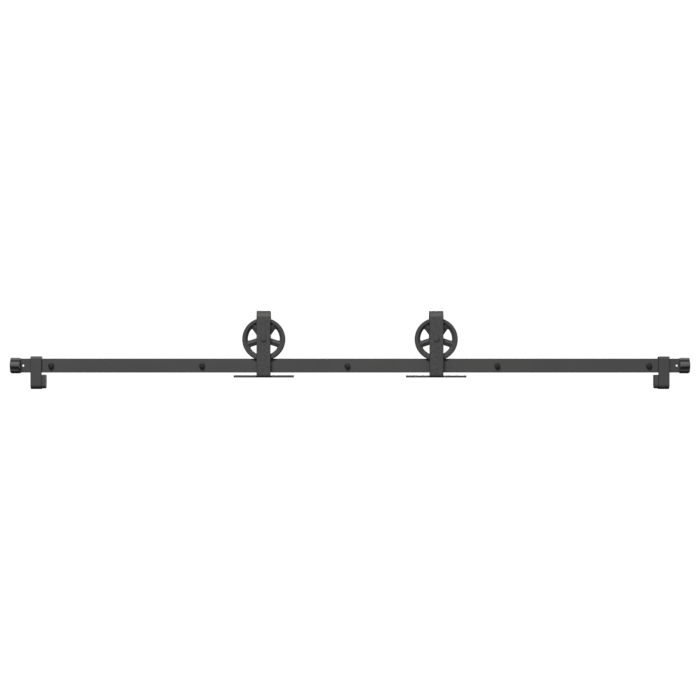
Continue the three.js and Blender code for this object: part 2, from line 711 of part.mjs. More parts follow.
/** All the pieces of one hanger, with its wheel centred on x. */
function hanger(word, x) {
  const bearingY = wheelHalf - BEARING_WIDTH / 2;
  const sleeveHalf = wheelHalf - BEARING_WIDTH - FACE_GAP;
  const group = new THREE.Group();
  const add = (name, body, finish) => group.add(piece(`${word}_${name}`, body, finish));
  add('strap', strap(), 'coat');
  add('wheel', wheel(), 'wheelCoat');
  add('axle_bolt', axleBolt(), 'coat');
  add('axle_nut', axleNut(), 'zinc');
  const sleeve = ring(shaftBore + SLEEVE_WALL, shaftBore, -sleeveHalf, sleeveHalf, BEARING_SIDES);
  add('bearing_sleeve', sleeve, 'zinc');
  for (const [end, side] of [['front', -1], ['rear', 1]]) {
    const [near, far] = [side * (wheelHalf + FACE_GAP), side * (strapInside - FACE_GAP)];
    const spacer = ring(shaftBore + AXLE_SPACER_WALL, shaftBore, near, far, BEARING_SIDES);
    add(`axle_spacer_${end}`, spacer, 'zinc');
    add(`${end}_outer_ring`, outerRing(side * bearingY), 'bearingSteel');
    add(`${end}_inner_ring`, innerRing(side * bearingY), 'bearingSteel');
    add(`${end}_ball_cage`, ballCage(side * bearingY), 'cageBrass');
  }
  group.position.set(x, railMidY, axleZ);
  return group;
}

// ---------------------------------------------------------------- assembly

const hardware = new THREE.Group();
hardware.add(rail());
boltXs.forEach((x, i) => {
  const fixing = new THREE.Group();
  fixing.add(lagBolt(i + 1), boltWasher(i + 1), wallSpacer(i + 1));
  fixing.position.x = x;
  hardware.add(fixing);
});
for (const [side, word] of [[-1, 'left'], [1, 'right']]) {
  hardware.add(endCap(side, `${word}_end_cap`));
  hardware.add(stop(side, word));
  hardware.add(hanger(word, side * HANGER_SPACING / 2));
}

export default hardware;
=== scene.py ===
import math

import bmesh
import bpy
from mathutils import Matrix, Vector


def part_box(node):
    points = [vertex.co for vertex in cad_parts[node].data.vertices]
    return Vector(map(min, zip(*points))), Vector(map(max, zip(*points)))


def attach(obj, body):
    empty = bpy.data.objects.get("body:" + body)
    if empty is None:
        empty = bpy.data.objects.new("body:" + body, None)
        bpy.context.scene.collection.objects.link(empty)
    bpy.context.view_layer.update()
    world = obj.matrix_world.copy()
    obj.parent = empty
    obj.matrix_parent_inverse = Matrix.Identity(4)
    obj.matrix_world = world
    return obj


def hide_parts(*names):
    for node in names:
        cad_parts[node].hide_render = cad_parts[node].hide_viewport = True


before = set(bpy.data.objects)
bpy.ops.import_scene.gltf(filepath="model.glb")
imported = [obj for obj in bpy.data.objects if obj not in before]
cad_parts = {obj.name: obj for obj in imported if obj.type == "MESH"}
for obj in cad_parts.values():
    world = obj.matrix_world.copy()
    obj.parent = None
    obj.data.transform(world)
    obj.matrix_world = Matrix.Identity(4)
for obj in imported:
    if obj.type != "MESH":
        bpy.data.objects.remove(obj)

scene = bpy.context.scene
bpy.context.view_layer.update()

# ---- sizes
# All shapes are made in millimetres, in the place where they belong, and piece() turns them into metres.

MM = 0.001

RAIL_EDGE = 0.7  # rounding of the rolled bar's long edges
RAIL_CORNER = 0.6
LAG_HOLE_RADIUS = 4.5
END_HOLE_RADIUS = 3
END_HOLE_INSET = 26

STRAP_THICKNESS = 6
STRAP_HALF_WIDTH = 19
STRAP_EDGE = 0.8
STRAP_TURN = 16  # radius of the top bend, at the middle of the steel
AXLE_HOLE_HALF = 5.15
AXLE_HOLE_CORNER = 0.5
BASE_TURN = 5
BASE_DEPTH = 36
BASE_CORNER = 5
BASE_ROOT_CORNER = 1.2
DOOR_SCREW_HOLE = 6.5
DOOR_SCREW_SINK = 12
DOOR_SCREW_PLACES = (35.75, 65.75)  # from the middle of the base plate
DOOR_SCREW_BACK = 18  # behind the base plate's bend

STOP_THICKNESS = 6
STOP_EDGE = 0.7
STOP_CORNER = 1.5
STOP_BEHIND_RAIL = 0.3  # clearance between the rail and the stop's back leg
STOP_BACK_LEG_END = -4
STOP_HOOK_TURN = 3.9
STOP_FOLD_TURN = 9
SET_SCREW_HOLE = 5.3
SET_SCREW_SPACING = 16
SET_SCREW_HEIGHT = 8
BUMPER_SCREW_HOLE = 4.3
BUMPER_RADIUS = 10.3
BUMPER_TAIL = 5.7
BUMPER_EDGE = 1.6
BUMPER_CORNER = 2.6
BUMPER_CLEARANCE = 0.3
BUMPER_TAIL_DROP = 0.6
BUMPER_TAIL_CHAMFER = 1

CAP_RADIUS = 22
CAP_GROOVE = 2.1
CAP_LOBES = 6
CAP_FIRST_GROOVE = 40  # degrees up from the front
CAP_POINTS_PER_LOBE = 28
CAP_EDGE = 0.6
CAP_LIP = ((4.4, 22), (3.6, 21.8), (0.4, 20.1), (0, 19.8))  # height over the mouth, and radius there
CAP_SLOT = (6.3, 38.3)
CAP_SLOT_CORNER = 0.4
CAP_SLOT_DEPTH = 19.65

TREAD_RADIUS = 52.5
FLANGE_RADIUS = 58.4
FLANGE_EDGE = 2.8
WHEEL_HALF = 11
GROOVE_TOP_HALF = 5.8
GROOVE_FLOOR_HALF = 4.5
RING_INNER = 51.5  # where the turned ring takes over from the spokes
WINDOW_RADIUS = 43.3
WINDOW_CORNER = 2.8
WINDOW_TIP = 5
WINDOW_EDGE = 0.9
RIM_WEB_HALF = 5
RIM_SLOPE = 5
RIM_SLOPE_START = 44.4
SPOKES = 5
SPOKE_HALF = 9
SPOKE_EDGE_HALF = 4
SPOKE_RIDGE_HALF = 8
SPOKE_FILLET = 2.4  # where a spoke runs into the sloping rim
FACE_FILLET = 1.2  # where that slope meets the wheel's flat face
HUB_RADIUS = 18
HUB_ROOT_HALF = 9.5

BEARING_RADIUS = 13
BEARING_SEAT = 13.15
BEARING_HALF = 4
BEARING_OFFSET = 7  # from the middle of the wheel
BEARING_STOP_RADIUS = 11
BEARING_STOP_HALF = 2.8
OUTER_SHOULDER = 10.9
INNER_SHOULDER = 7.1
AXLE_RADIUS = 5
BALL_PITCH = 9
TRACK_RADIUS = 2.4

LAG_HEAD_ALLOWANCE = 5.51  # the bolt's head, and a hair so that its tip stays inside the solid bolt's box

CAMERA_DISTANCE = 4.5  # metres, from the front of the rail
CAMERA_HEIGHT = 0.0424
CAMERA_LENS = 85.1
FLOOR_HEIGHT = -1.25


def span(node):
    """Lowest and highest corner of a part of the frame, in millimetres."""
    low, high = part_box(node)
    return low / MM, high / MM


def middle(node):
    low, high = span(node)
    return (low + high) / 2


# ---- node sums


def sum_of(operation):
    """A method that adds one math node, fed by the wire and by what the method is given."""
    def method(self, *others):
        inputs = dict(enumerate((self, *others)))
        return self.bench.add("ShaderNodeMath", {"operation": operation}, inputs)
    return method


class Wire:
    """A node socket that takes part in sums."""

    def __init__(self, bench, socket):
        self.bench = bench
        self.socket = socket

    def __rsub__(self, other):
        return self.bench.add("ShaderNodeMath", {"operation": "SUBTRACT"}, {0: other, 1: self})

    __add__ = __radd__ = sum_of("ADD")
    __sub__ = sum_of("SUBTRACT")
    __mul__ = __rmul__ = sum_of("MULTIPLY")
    __truediv__ = sum_of("DIVIDE")
    __pow__ = sum_of("POWER")
    __gt__ = sum_of("GREATER_THAN")
    __lt__ = sum_of("LESS_THAN")
    part = sum_of("FRACT")
    size = sum_of("ABSOLUTE")
    lower = sum_of("MINIMUM")
    upper = sum_of("MAXIMUM")
    sin = sum_of("SINE")
    cos = sum_of("COSINE")


class Bench:
    """A node tree with one way to add a node."""

    def __init__(self, tree):
        self.tree = tree

    def add(self, kind, settings=None, inputs=None, output=0):
        """Adds a node of a kind, sets it up, feeds its sockets, and returns one of its outputs."""
        node = self.tree.nodes.new(kind)
        for name, value in (settings or {}).items():
            setattr(node, name, value)
        for name, value in (inputs or {}).items():
            self.feed(self.find(node.inputs, name), value)
        return Wire(self, self.find(node.outputs, output))

    @staticmethod
    def find(sockets, name):
        if isinstance(name, int):
            return sockets[name]
        return next((s for s in sockets if s.identifier == name), None) or sockets[name]

    def feed(self, socket, value):
        for one in value if isinstance(value, list) else [value]:
            if isinstance(one, Wire):
                self.tree.links.new(one.socket, socket)
            else:
                socket.default_value = one


# ---- finishes


class Finish(Bench):
    """A material under way: what its pattern nodes share, and its shader."""

    def __init__(self, name):
        self.material = bpy.data.materials.new(name)
        self.material.use_nodes = True
        super().__init__(self.material.node_tree)
        self.shader = self.tree.nodes["Principled BSDF"]
        self.place = self.add("ShaderNodeTexCoord", output="Object")

    def noise(self, scale, detail=3.0, roughness=0.55, place=None):
        inputs = {"Vector": place or self.place, "Scale": scale, "Detail": detail, "Roughness": roughness}
        return self.add("ShaderNodeTexNoise", {}, inputs, "Fac")

    def stretched(self, scale):
        return self.add("ShaderNodeMapping", {}, {"Vector": self.place, "Scale": scale})

    def cells(self, scale, feature="F1", place=None):
        inputs = {"Vector": place or self.place, "Scale": scale}
        return self.add("ShaderNodeTexVoronoi", {"feature": feature}, inputs, "Distance")

    def between(self, value, low, high):
        """0 below low, 1 above high, and a smooth step from one to the other."""
        inputs = {"Value": value, "From Min": low, "From Max": high}
        return self.add("ShaderNodeMapRange", {"interpolation_type": "SMOOTHSTEP"}, inputs)

    def mixed(self, share, first, second):
        inputs = {"Factor_Float": share, "A_Color": first, "B_Color": second}
        return self.add("ShaderNodeMix", {"data_type": "RGBA"}, inputs, "Result_Color")

    def edges(self, radius, least=0.02, most=0.16):
        """1 along edges and corners, 0 on the faces between them; least and most set how far it reaches."""
        rounded = self.add("ShaderNodeBevel", {"samples": 5}, {"Radius": radius * MM})
        plain = self.add("ShaderNodeNewGeometry", output="Normal")
        both = {0: rounded, 1: plain}
        likeness = self.add("ShaderNodeVectorMath", {"operation": "DOT_PRODUCT"}, both, "Value")
        return self.between(1 - likeness, least, most)

    def recess_shade(self, reach):
        """Painted shade mask from ambient occlusion: 1 deep in corners and grooves, 0 out in the open."""
        open_sky = self.add("ShaderNodeAmbientOcclusion", {"samples": 6}, {"Distance": reach * MM}, "AO")
        return self.between(1 - open_sky, 0.15, 0.75)

    def relief(self, height, strength, depth):
        """Bumps of a depth in millimetres."""
        inputs = {"Height": height, "Strength": strength, "Distance": depth * MM}
        self.set("Normal", self.add("ShaderNodeBump", {}, inputs))

    def set(self, name, value):
        self.feed(self.shader.inputs[name], value)


def grey(value, warmth=0.0):
    return (value * (1 + warmth), value, value * (1 - warmth), 1)


def powder_coat(name, tone, roughness, grain, bareness, shine=0.26, mottle=0.5):
    """Baked powder coat on steel: orange peel, cloudy thickness, hairline scratches, thin edges that are
    rougher, and painted shade along edges and in corners and recesses.
    """
    coat = Finish(name)
    cloud = coat.noise(9, 4)
    speckle = coat.noise(grain, 5, 0.68)
    peel = coat.noise(grain * 0.55, 3, 0.45)
    # Mask along edges and corners: painted shade in the colour, and a rougher thin coat in the roughness.
    thin_coat_and_edge_shade = coat.edges(3, 0.002, 0.05)
    rub = coat.edges(0.6) * coat.between(coat.noise(160, 4, 0.7), 0.45, 0.7) * bareness
    hairs = coat.cells(14, "DISTANCE_TO_EDGE", coat.stretched((1, 1, 7)))
    scratch = (1 - coat.between(hairs, 0.0, 0.006)) * coat.between(coat.noise(22, 3), 0.55, 0.7)
    smear = coat.between(coat.noise(3, 5, 0.65, coat.stretched((1, 1, 4))), 0.45, 0.75)
    shade = coat.mixed(coat.between(cloud, 0.3, 0.7), grey(tone * 0.93), grey(tone * 1.07, 0.01))
    raised = grey(tone * (1.2 + mottle * 0.4), 0.01)
    shade = coat.mixed(coat.between(speckle, 0.38, 0.66) * mottle, shade, raised)
    shade = coat.mixed(smear * 0.12, shade, grey(tone * 1.5, 0.02))
    shade = coat.mixed(scratch * 0.45, shade, grey(tone * 2.4, 0.02))
    # Painted shade: edges and corners darkened in the base colour.
    shade = coat.mixed(thin_coat_and_edge_shade * 0.75, shade, grey(tone * 0.2))
    # Painted shade in corners and recesses.
    shade = coat.mixed(coat.recess_shade(5) * 0.7, shade, grey(tone * 0.25))
    coat.set("Base Color", coat.mixed(rub, shade, grey(0.24, 0.03)))
    coat.set("Roughness", speckle * 0.16 + smear * 0.07 + thin_coat_and_edge_shade * 0.2 + (roughness - 0.1) - rub * 0.2)
    coat.set("Metallic", rub * 0.7)
    coat.set("Specular IOR Level", shine)
    coat.relief(peel * 0.7 + speckle * 0.3 - scratch * 0.5, 0.8, 45 / grain)
    return coat.material


def black_oxide(name):
    """Blackened steel: dark, oily, mottled, with bright worn corners."""
    steel = Finish(name)
    mottle = steel.noise(120, 5, 0.65)
    fine = steel.noise(1400, 2)
    rub = steel.edges(0.6) * steel.between(steel.noise(300, 3), 0.38, 0.62)
    shade = steel.mixed(steel.between(mottle, 0.35, 0.65), grey(0.008), grey(0.02, 0.02))
    steel.set("Base Color", steel.mixed(rub * 0.55, shade, grey(0.3, 0.02)))
    steel.set("Metallic", rub * 0.5 + 0.1)
    steel.set("Specular IOR Level", 0.3)
    steel.set("Roughness", mottle * 0.22 + fine * 0.1 + 0.3)
    steel.relief(fine * 0.6 + mottle * 0.4, 0.4, 0.04)
    return steel.material


def moulded_rubber(name, tone):
    """Black rubber: matt, with a dusty bloom, a fine eggshell face, and painted shade in recesses and in the
    cap's grooves.
    """
    rubber = Finish(name)
    bloom = rubber.between(rubber.noise(60, 6, 0.65), 0.4, 0.7)
    face = rubber.noise(1100, 3)
    pits = rubber.between(rubber.cells(420), 0.0, 0.16)
    scuff = rubber.edges(1.4) * rubber.between(rubber.noise(90, 4), 0.4, 0.65)
    shade = rubber.mixed(bloom * 0.6, grey(tone), grey(tone * 1.4, 0.02))
    shade = rubber.mixed(scuff * 0.4, shade, grey(tone * 1.8, 0.04))
    # Painted shade in the cap's grooves: the deeper a point lies in a groove, the darker its colour.
    groove = rubber.add("ShaderNodeAttribute", {"attribute_name": "groove"}, {}, "Fac")
    shade = rubber.mixed(rubber.between(groove, 0.3, 0.85) * 0.9, shade, grey(0.006))
    # Painted shade in the rubber's corners and recesses.
    rubber.set("Base Color", rubber.mixed(rubber.recess_shade(4) * 0.85, shade, grey(0.008)))
    rubber.set("Roughness", face * 0.14 + bloom * 0.1 + 0.54)
    rubber.set("Specular IOR Level", 0.18)
    rubber.relief(face * 0.7 + pits * 0.3, 0.8, 0.08)
    return rubber.material


def zinc_plate(name):
    """Bright zinc plate on steel: faint spangle, dulled in patches."""
    zinc = Finish(name)
    spangle = zinc.cells(260)
    dull = zinc.between(zinc.noise(70, 5, 0.6), 0.4, 0.7)
    fine = zinc.noise(1500, 2)
    shade = zinc.mixed(spangle, grey(0.5, -0.01), grey(0.62, -0.02))
    zinc.set("Base Color", zinc.mixed(dull * 0.5, shade, grey(0.34, 0.01)))
    zinc.set("Metallic", 1 - dull * 0.15)
    zinc.set("Roughness", dull * 0.2 + fine * 0.08 + 0.24)
    zinc.relief(fine, 0.3, 0.02)
    return zinc.material


def ground_steel(name):
    """Ground bearing steel: bright, with fine grinding marks and a film of oil."""
    steel = Finish(name)
    marks = steel.noise(60, 4, 0.7, steel.stretched((30, 4, 30)))
    film = steel.between(steel.noise(110, 3), 0.4, 0.7)
    steel.set("Base Color", steel.mixed(marks, grey(0.52), grey(0.66, 0.01)))
    steel.set("Metallic", 1 - film * 0.1)
    steel.set("Roughness", marks * 0.12 + film * 0.1 + 0.12)
    steel.relief(marks, 0.2, 0.01)
    return steel.material


def pressed_brass(name):
    """Pressed brass strip: warm, slightly tarnished."""
    brass = Finish(name)
    tarnish = brass.between(brass.noise(150, 4, 0.6), 0.38, 0.7)
    fine = brass.noise(1300, 2)
    brass.set("Base Color", brass.mixed(tarnish, (0.56, 0.36, 0.13, 1), (0.3, 0.19, 0.08, 1)))
    brass.set("Metallic", 1 - tarnish * 0.2)
    brass.set("Roughness", tarnish * 0.25 + fine * 0.08 + 0.24)
    brass.relief(fine, 0.3, 0.02)
    return brass.material


def matt_floor(name):
    floor = Finish(name)
    floor.set("Base Color", floor.mixed(floor.noise(1.2, 3), grey(0.78), grey(0.82, 0.005)))
    floor.set("Roughness", floor.noise(40, 2) * 0.1 + 0.75)
    return floor.material


COAT = powder_coat("satin_black_powder_coat", 0.0485, 0.56, 1300, 0.8)
STRAP_COAT = powder_coat("textured_black_powder_coat", 0.0385, 0.56, 250, 0.8, 0.26, 1.05)
WHEEL_COAT = powder_coat("cast_wheel_coat", 0.051, 0.66, 700, 0.9, 0.08, 0.7)
BLACK_BOLT = black_oxide("black_oxide_steel")
RUBBER = moulded_rubber("black_rubber", 0.053)
CAP_RUBBER = moulded_rubber("end_cap_rubber", 0.08)
ZINC = zinc_plate("zinc_plate")
BEARING_STEEL = ground_steel("ground_bearing_steel")
BRASS = pressed_brass("pressed_cage_brass")


# ---- outlines


def arc(centre, radius, start, end, steps):
    """Points along an arc; angles are in degrees."""
    turns = [math.radians(start + (end - start) * i / steps) for i in range(steps + 1)]
    return [Vector(centre) + Vector((math.cos(t), math.sin(t))) * radius for t in turns]


def circle(radius, steps, centre=(0, 0)):
    return arc(centre, radius, 0, 360, steps)[:-1]


def rounded(corners, closed=True, steps=4):
    """An outline whose corners are (x, y) or (x, y, radius), with the arcs put in."""
    outline = []
    count = len(corners)
    for i, corner in enumerate(corners):
        here = Vector(corner[:2])
        radius = corner[2] if len(corner) > 2 else 0
        if radius == 0 or (not closed and i in (0, count - 1)):
            outline.append(here)
            continue
        back = (Vector(corners[i - 1][:2]) - here).normalized()
        on = (Vector(corners[(i + 1) % count][:2]) - here).normalized()
        half = back.angle(on) / 2
        heart = here + (back + on).normalized() * radius / math.sin(half)
        first = here + back * radius / math.tan(half) - heart
        last = here + on * radius / math.tan(half) - heart
        swing = first.angle_signed(last)
        for k in range(steps + 1):
            outline.append(heart + Matrix.Rotation(-swing * k / steps, 2) @ first)
    return outline


def block(left, bottom, right, top, corner):
    """A rectangle with rounded corners, anticlockwise."""
    corners = ((left, bottom), (right, bottom), (right, top), (left, top))
    return rounded([(x, y, corner) for x, y in corners])


def inset(outline, distance):
    """The closed outline moved to its left, which is inwards where it runs anticlockwise."""
    moved = []
    for i, here in enumerate(outline):
        a = (here - outline[i - 1]).normalized()
        b = (outline[(i + 1) % len(outline)] - here).normalized()
        across = Vector((-a.y - b.y, a.x + b.x))
        moved.append(here + across * distance / (1 + a.dot(b)))
    return moved


def spread(line, count):
    """The same line with its points evenly apart."""
    lengths = [0.0]
    for a, b in zip(line, line[1:]):
        lengths.append(lengths[-1] + (b - a).length)
    even = []
    k = 0
    for i in range(count + 1):
        want = lengths[-1] * i / count
        while k < len(line) - 2 and lengths[k + 1] < want:
            k += 1
        share = (want - lengths[k]) / max(lengths[k + 1] - lengths[k], 1e-9)
        even.append(line[k].lerp(line[k + 1], min(share, 1)))
    return even


# ---- skins


class Skin:
    """A closed surface put together from strips and filled ends."""

    def __init__(self):
        self.mesh = bmesh.new()

    def strip(self, rows, loop=True):
        """Faces between rows of points; returns the rows' corners."""
        corners = [[self.mesh.verts.new(point) for point in row] for row in rows]
        for a, b in zip(corners, corners[1:]):
            for i in range(len(a) if loop else len(a) - 1):
                j = (i + 1) % len(a)
                self.mesh.faces.new((a[i], a[j], b[j], b[i]))
        return corners

    def wall(self, outline, profile):
        """The side of a plate: profile is a list of (inset, height). Returns its first and last rows."""
        corners = self.strip(self.sheet(outline, profile))
        return corners[0], corners[-1]

    def fill(self, *rings):
        """A flat face inside the first ring, with the others as holes."""
        edges = []
        for ring in rings:
            for i, corner in enumerate(ring):
                ends = (ring[i - 1], corner)
                edges.append(self.mesh.edges.get(ends) or self.mesh.edges.new(ends))
        bmesh.ops.triangle_fill(self.mesh, use_beauty=True, use_dissolve=False, edges=edges)

    def sheet(self, outline, profile):
        """Upright sides whose outline is inset by a depth at each height."""
        return [[Vector((*p, height)) for p in inset(outline, depth)] for depth, height in profile]

    def place(self, frame_matrix):
        bmesh.ops.transform(self.mesh, matrix=frame_matrix, verts=self.mesh.verts)
        return self

    def close(self):
        """Joins what meets, and turns every face outwards."""
        bmesh.ops.remove_doubles(self.mesh, verts=self.mesh.verts, dist=0.004)
        bmesh.ops.dissolve_degenerate(self.mesh, edges=self.mesh.edges, dist=0.001)
        bmesh.ops.recalc_face_normals(self.mesh, faces=self.mesh.faces)


def turned(profile, steps):
    """Rows of points round y, one for each (radius, along) of the profile."""
    turns = [2 * math.pi * i / steps - math.pi / 2 for i in range(steps)]
    return [[Vector((r * math.cos(t), y, r * math.sin(t))) for t in turns] for r, y in profile]


def there_and_back(half):
    """A profile made whole from its half with positive y, which ends at y = 0."""
    return half + [Vector((p.x, -p.y)) for p in reversed(half[:-1])]


def axes(x, y, z, origin):
    """The matrix that lays a shape's own axes along these directions."""
    matrix = Matrix((x, y, z)).transposed().to_4x4()
    matrix.translation = Vector(origin)
    return matrix


def edge_rows(low, high, edge, steps=3):
    """Rows of a plate's side from its high face to its low one, with rounded edges."""
    quarter = [(edge * (1 - math.sin(a)), edge * (1 - math.cos(a)))
               for a in (math.pi / 2 * k / steps for k in range(steps + 1))]
    top = [(depth, high - drop) for depth, drop in quarter]
    bottom = [(depth, low + drop) for depth, drop in reversed(quarter)]
    return top + bottom


def piece(name, shape, body, nodes, material=None):
    """A finished piece: a mesh in metres that rides on a body and stands for these parts of the frame."""
    if isinstance(shape, Skin):
        shape.close()
        mesh = bpy.data.meshes.new(name)
        shape.mesh.to_mesh(mesh)
        shape.mesh.free()
    else:
        mesh = shape
    mesh.transform(Matrix.Scale(MM, 4))
    if material is not None:
        mesh.materials.clear()
        mesh.materials.append(material)
    mesh.shade_smooth()
    mesh.set_sharp_from_angle(angle=math.radians(42))
    made = bpy.data.objects.new(name, mesh)
    scene.collection.objects.link(made)
    flats = made.modifiers.new("flats", "WEIGHTED_NORMAL")
    flats.keep_sharp = True
    view = bpy.context.evaluated_depsgraph_get()
    made.data = bpy.data.meshes.new_from_object(made.evaluated_get(view), depsgraph=view)
    made.data.name = name
    made.modifiers.remove(flats)
    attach(made, body)
    if nodes:
        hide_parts(*nodes)
    return made


# ---- folded steel


def run(length):
    return length, 0.0


def bend(radius, degrees):
    return abs(radius * math.radians(degrees)), math.radians(degrees)


def fold(skin, route, start, heading, middle_x):
    """Folds a flat strip that lies along +y: start is (y, z), and each bend turns the heading."""
    done = 0.0
    stations = []
    place = Vector(start)
    for length, turn in route:
        cuts = max(1, round(abs(math.degrees(turn)) / 7.5)) if turn else 1
        for k in range(cuts + 1):
            geometry = skin.mesh.verts[:] + skin.mesh.edges[:] + skin.mesh.faces[:]
            bmesh.ops.bisect_plane(skin.mesh, geom=geometry, plane_co=(0, done + length * k / cuts, 0),
                                   plane_no=(0, 1, 0), dist=0.0005)
        stations.append((done, length, turn, place.copy(), heading))
        if turn:
            heart = place + Vector((-math.sin(heading), math.cos(heading))) * length / turn
            place = heart + Matrix.Rotation(turn, 2) @ (place - heart)
        else:
            place = place + Vector((math.cos(heading), math.sin(heading))) * length
        heading += turn
        done += length
    for vert in skin.mesh.verts:
        x, along, lift = vert.co
        station = next((s for s in stations if along <= s[0] + s[1] + 0.001), stations[-1])
        begin, length, turn, origin, aim = station
        now = aim + turn * (along - begin) / length
        side = Vector((-math.sin(now), math.cos(now)))
        if turn:
            heart = origin + Vector((-math.sin(aim), math.cos(aim))) * length / turn
            spot = heart - side * length / turn
        else:
            spot = origin + Vector((math.cos(aim), math.sin(aim))) * (along - begin)
        spot = spot + side * lift
        vert.co = (middle_x + x, spot.x, spot.y)
    return skin


def flat_blank(outline, holes, half, edge):
    """A flat blank, half thick either way; a hole is an outline that runs clockwise, with its side rows."""
    skin = Skin()
    rings = [skin.wall(outline, edge_rows(-half, half, edge, 4))]
    rings += [skin.wall(hole, rows) for hole, rows in holes]
    skin.fill(*[first for first, last in rings])
    skin.fill(*[last for first, last in rings])
    return skin


def clockwise(outline):
    return list(reversed(outline))


def drilled(radius, half, centre, steps=32):
    """A plain drilled hole with its edges broken."""
    return clockwise(circle(radius, steps, centre)), edge_rows(-half, half, 0.25, 1)


def countersunk(radius, sink, half, centre):
    """A screw hole with a cone for the screw's head at the high face."""
    depth = sink - radius
    rows = [(depth, half), (depth - 0.1, half - 0.1), (0, half - depth), (0, 0.2 - half), (0.2, -half)]
    return clockwise(circle(radius, 36, centre)), rows


# ---- rail


def rail():
    """Flat bar with a hole for each lag bolt, and one near each end."""
    low, high = span("rail")
    half = (high.y - low.y) / 2
    centre = (low + high) / 2
    side = block(low.x, low.z, high.x, high.z, RAIL_CORNER)
    holes = [drilled(LAG_HOLE_RADIUS, half, (middle(bolt).x, 0)) for bolt in numbered("lag_bolt")]
    ends = (low.x + END_HOLE_INSET, high.x - END_HOLE_INSET)
    holes += [drilled(END_HOLE_RADIUS, half, (x, 0)) for x in ends]
    skin = flat_blank(side, holes, half, RAIL_EDGE)
    skin.place(axes((1, 0, 0), (0, 0, 1), (0, -1, 0), (0, centre.y, 0)))
    return piece("rail_bar", skin, "rail", ["rail"], COAT)


# ---- stops and end caps


def stop_plate(word):
    """Steel strip that hooks over the rail, hangs in front of it and folds up behind the bumper."""
    node = f"{word}_stop_plate"
    low, high = span(node)
    half = STOP_THICKNESS / 2
    back_face = span("rail")[1].y + STOP_BEHIND_RAIL
    top = high.z - half
    hook_span = back_face - low.y
    fold_height = low.z + STOP_FOLD_TURN + half
    lip_top = span(f"{word}_stop_bumper")[1].z
    route = [
        run(top - STOP_HOOK_TURN - STOP_BACK_LEG_END),
        bend(STOP_HOOK_TURN, 90),
        run(hook_span - 2 * STOP_HOOK_TURN),
        bend(STOP_HOOK_TURN, 90),
        run(top - STOP_HOOK_TURN - fold_height),
        bend(STOP_FOLD_TURN, 180),
        run(lip_top - fold_height),
    ]
    length = sum(step[0] for step in route)
    wide = (high.x - low.x) / 2
    outline = block(-wide, 0, wide, length, STOP_CORNER)
    holes = [drilled(SET_SCREW_HOLE / 2, half, (x, SET_SCREW_HEIGHT - STOP_BACK_LEG_END))
             for x in (-SET_SCREW_SPACING / 2, SET_SCREW_SPACING / 2)]
    screw = length - (lip_top - middle(f"{word}_bumper_screw").z)
    holes.append(drilled(BUMPER_SCREW_HOLE / 2, half, (0, screw)))
    skin = flat_blank(outline, holes, half, STOP_EDGE)
    fold(skin, route, (back_face + half, STOP_BACK_LEG_END), math.pi / 2, (low.x + high.x) / 2)
    return piece(f"{word}_stop_strip", skin, "rail", [node], COAT)


def half_round(radius, top, corner=1.2):
    """A block's outline with a round bottom, anticlockwise from its upper right corner."""
    bottom = arc((0, 0), radius, 180, 360, 28)
    upper = [(radius, top / 2), (radius, top, corner), (-radius, top, corner), (-radius, top / 2)]
    return rounded(upper, closed=False) + bottom


def stop_bumper(word, inward):
    """Rubber block with a round bottom, and the tail that the stop's fold holds."""
    low, high = span(f"{word}_stop_bumper")
    stop_low, stop_high = span(f"{word}_stop_plate")
    fold_y = stop_low.y + STOP_FOLD_TURN + STOP_THICKNESS / 2
    fold_z = stop_low.z + STOP_FOLD_TURN + STOP_THICKNESS / 2
    face = high.x if inward > 0 else low.x
    tail_end = low.x if inward > 0 else high.x
    seat = (stop_high.x if inward > 0 else stop_low.x) + inward * BUMPER_CLEARANCE
    depth = abs(face - seat)
    skin = Skin()
    top = high.z - fold_z
    rows = edge_rows(0, depth, BUMPER_EDGE, 5)[:6]  # down from the face that meets the hanger
    rows += edge_rows(0, depth, 0.3, 2)[3:]
    front, back = skin.wall(half_round(BUMPER_RADIUS, top, BUMPER_CORNER), rows)
    reach = -abs(seat - tail_end)
    tail_rows = [(0, 0), (0, reach + BUMPER_TAIL_CHAMFER), (BUMPER_TAIL_CHAMFER, reach)]
    root, end = skin.wall(half_round(BUMPER_TAIL, top - BUMPER_TAIL_DROP), tail_rows)
    skin.fill(front)
    skin.fill(back, root)
    skin.fill(end)
    skin.place(axes((0, 1, 0), (0, 0, 1), (inward, 0, 0), (seat, fold_y, fold_z)))
    return piece(f"{word}_bumper_block", skin, "rail", [f"{word}_stop_bumper"], RUBBER)


def groove_depth(turn):
    """How deep in a groove a cap's outline is, at a turn in degrees: 1 at its floor, 0 on a lobe."""
    wave = 0.5 + 0.5 * math.cos(math.radians((turn - CAP_FIRST_GROOVE) * CAP_LOBES))
    return wave ** 1.5


def lobed_outline(limit=CAP_RADIUS):
    """Rounded lobes with a groove between each two, all within a limit from the middle."""
    outline = []
    for point in circle(1, CAP_LOBES * CAP_POINTS_PER_LOBE):
        turn = math.degrees(math.atan2(point.y, point.x))
        outline.append(point * min(CAP_RADIUS - CAP_GROOVE * groove_depth(turn), limit))
    return outline


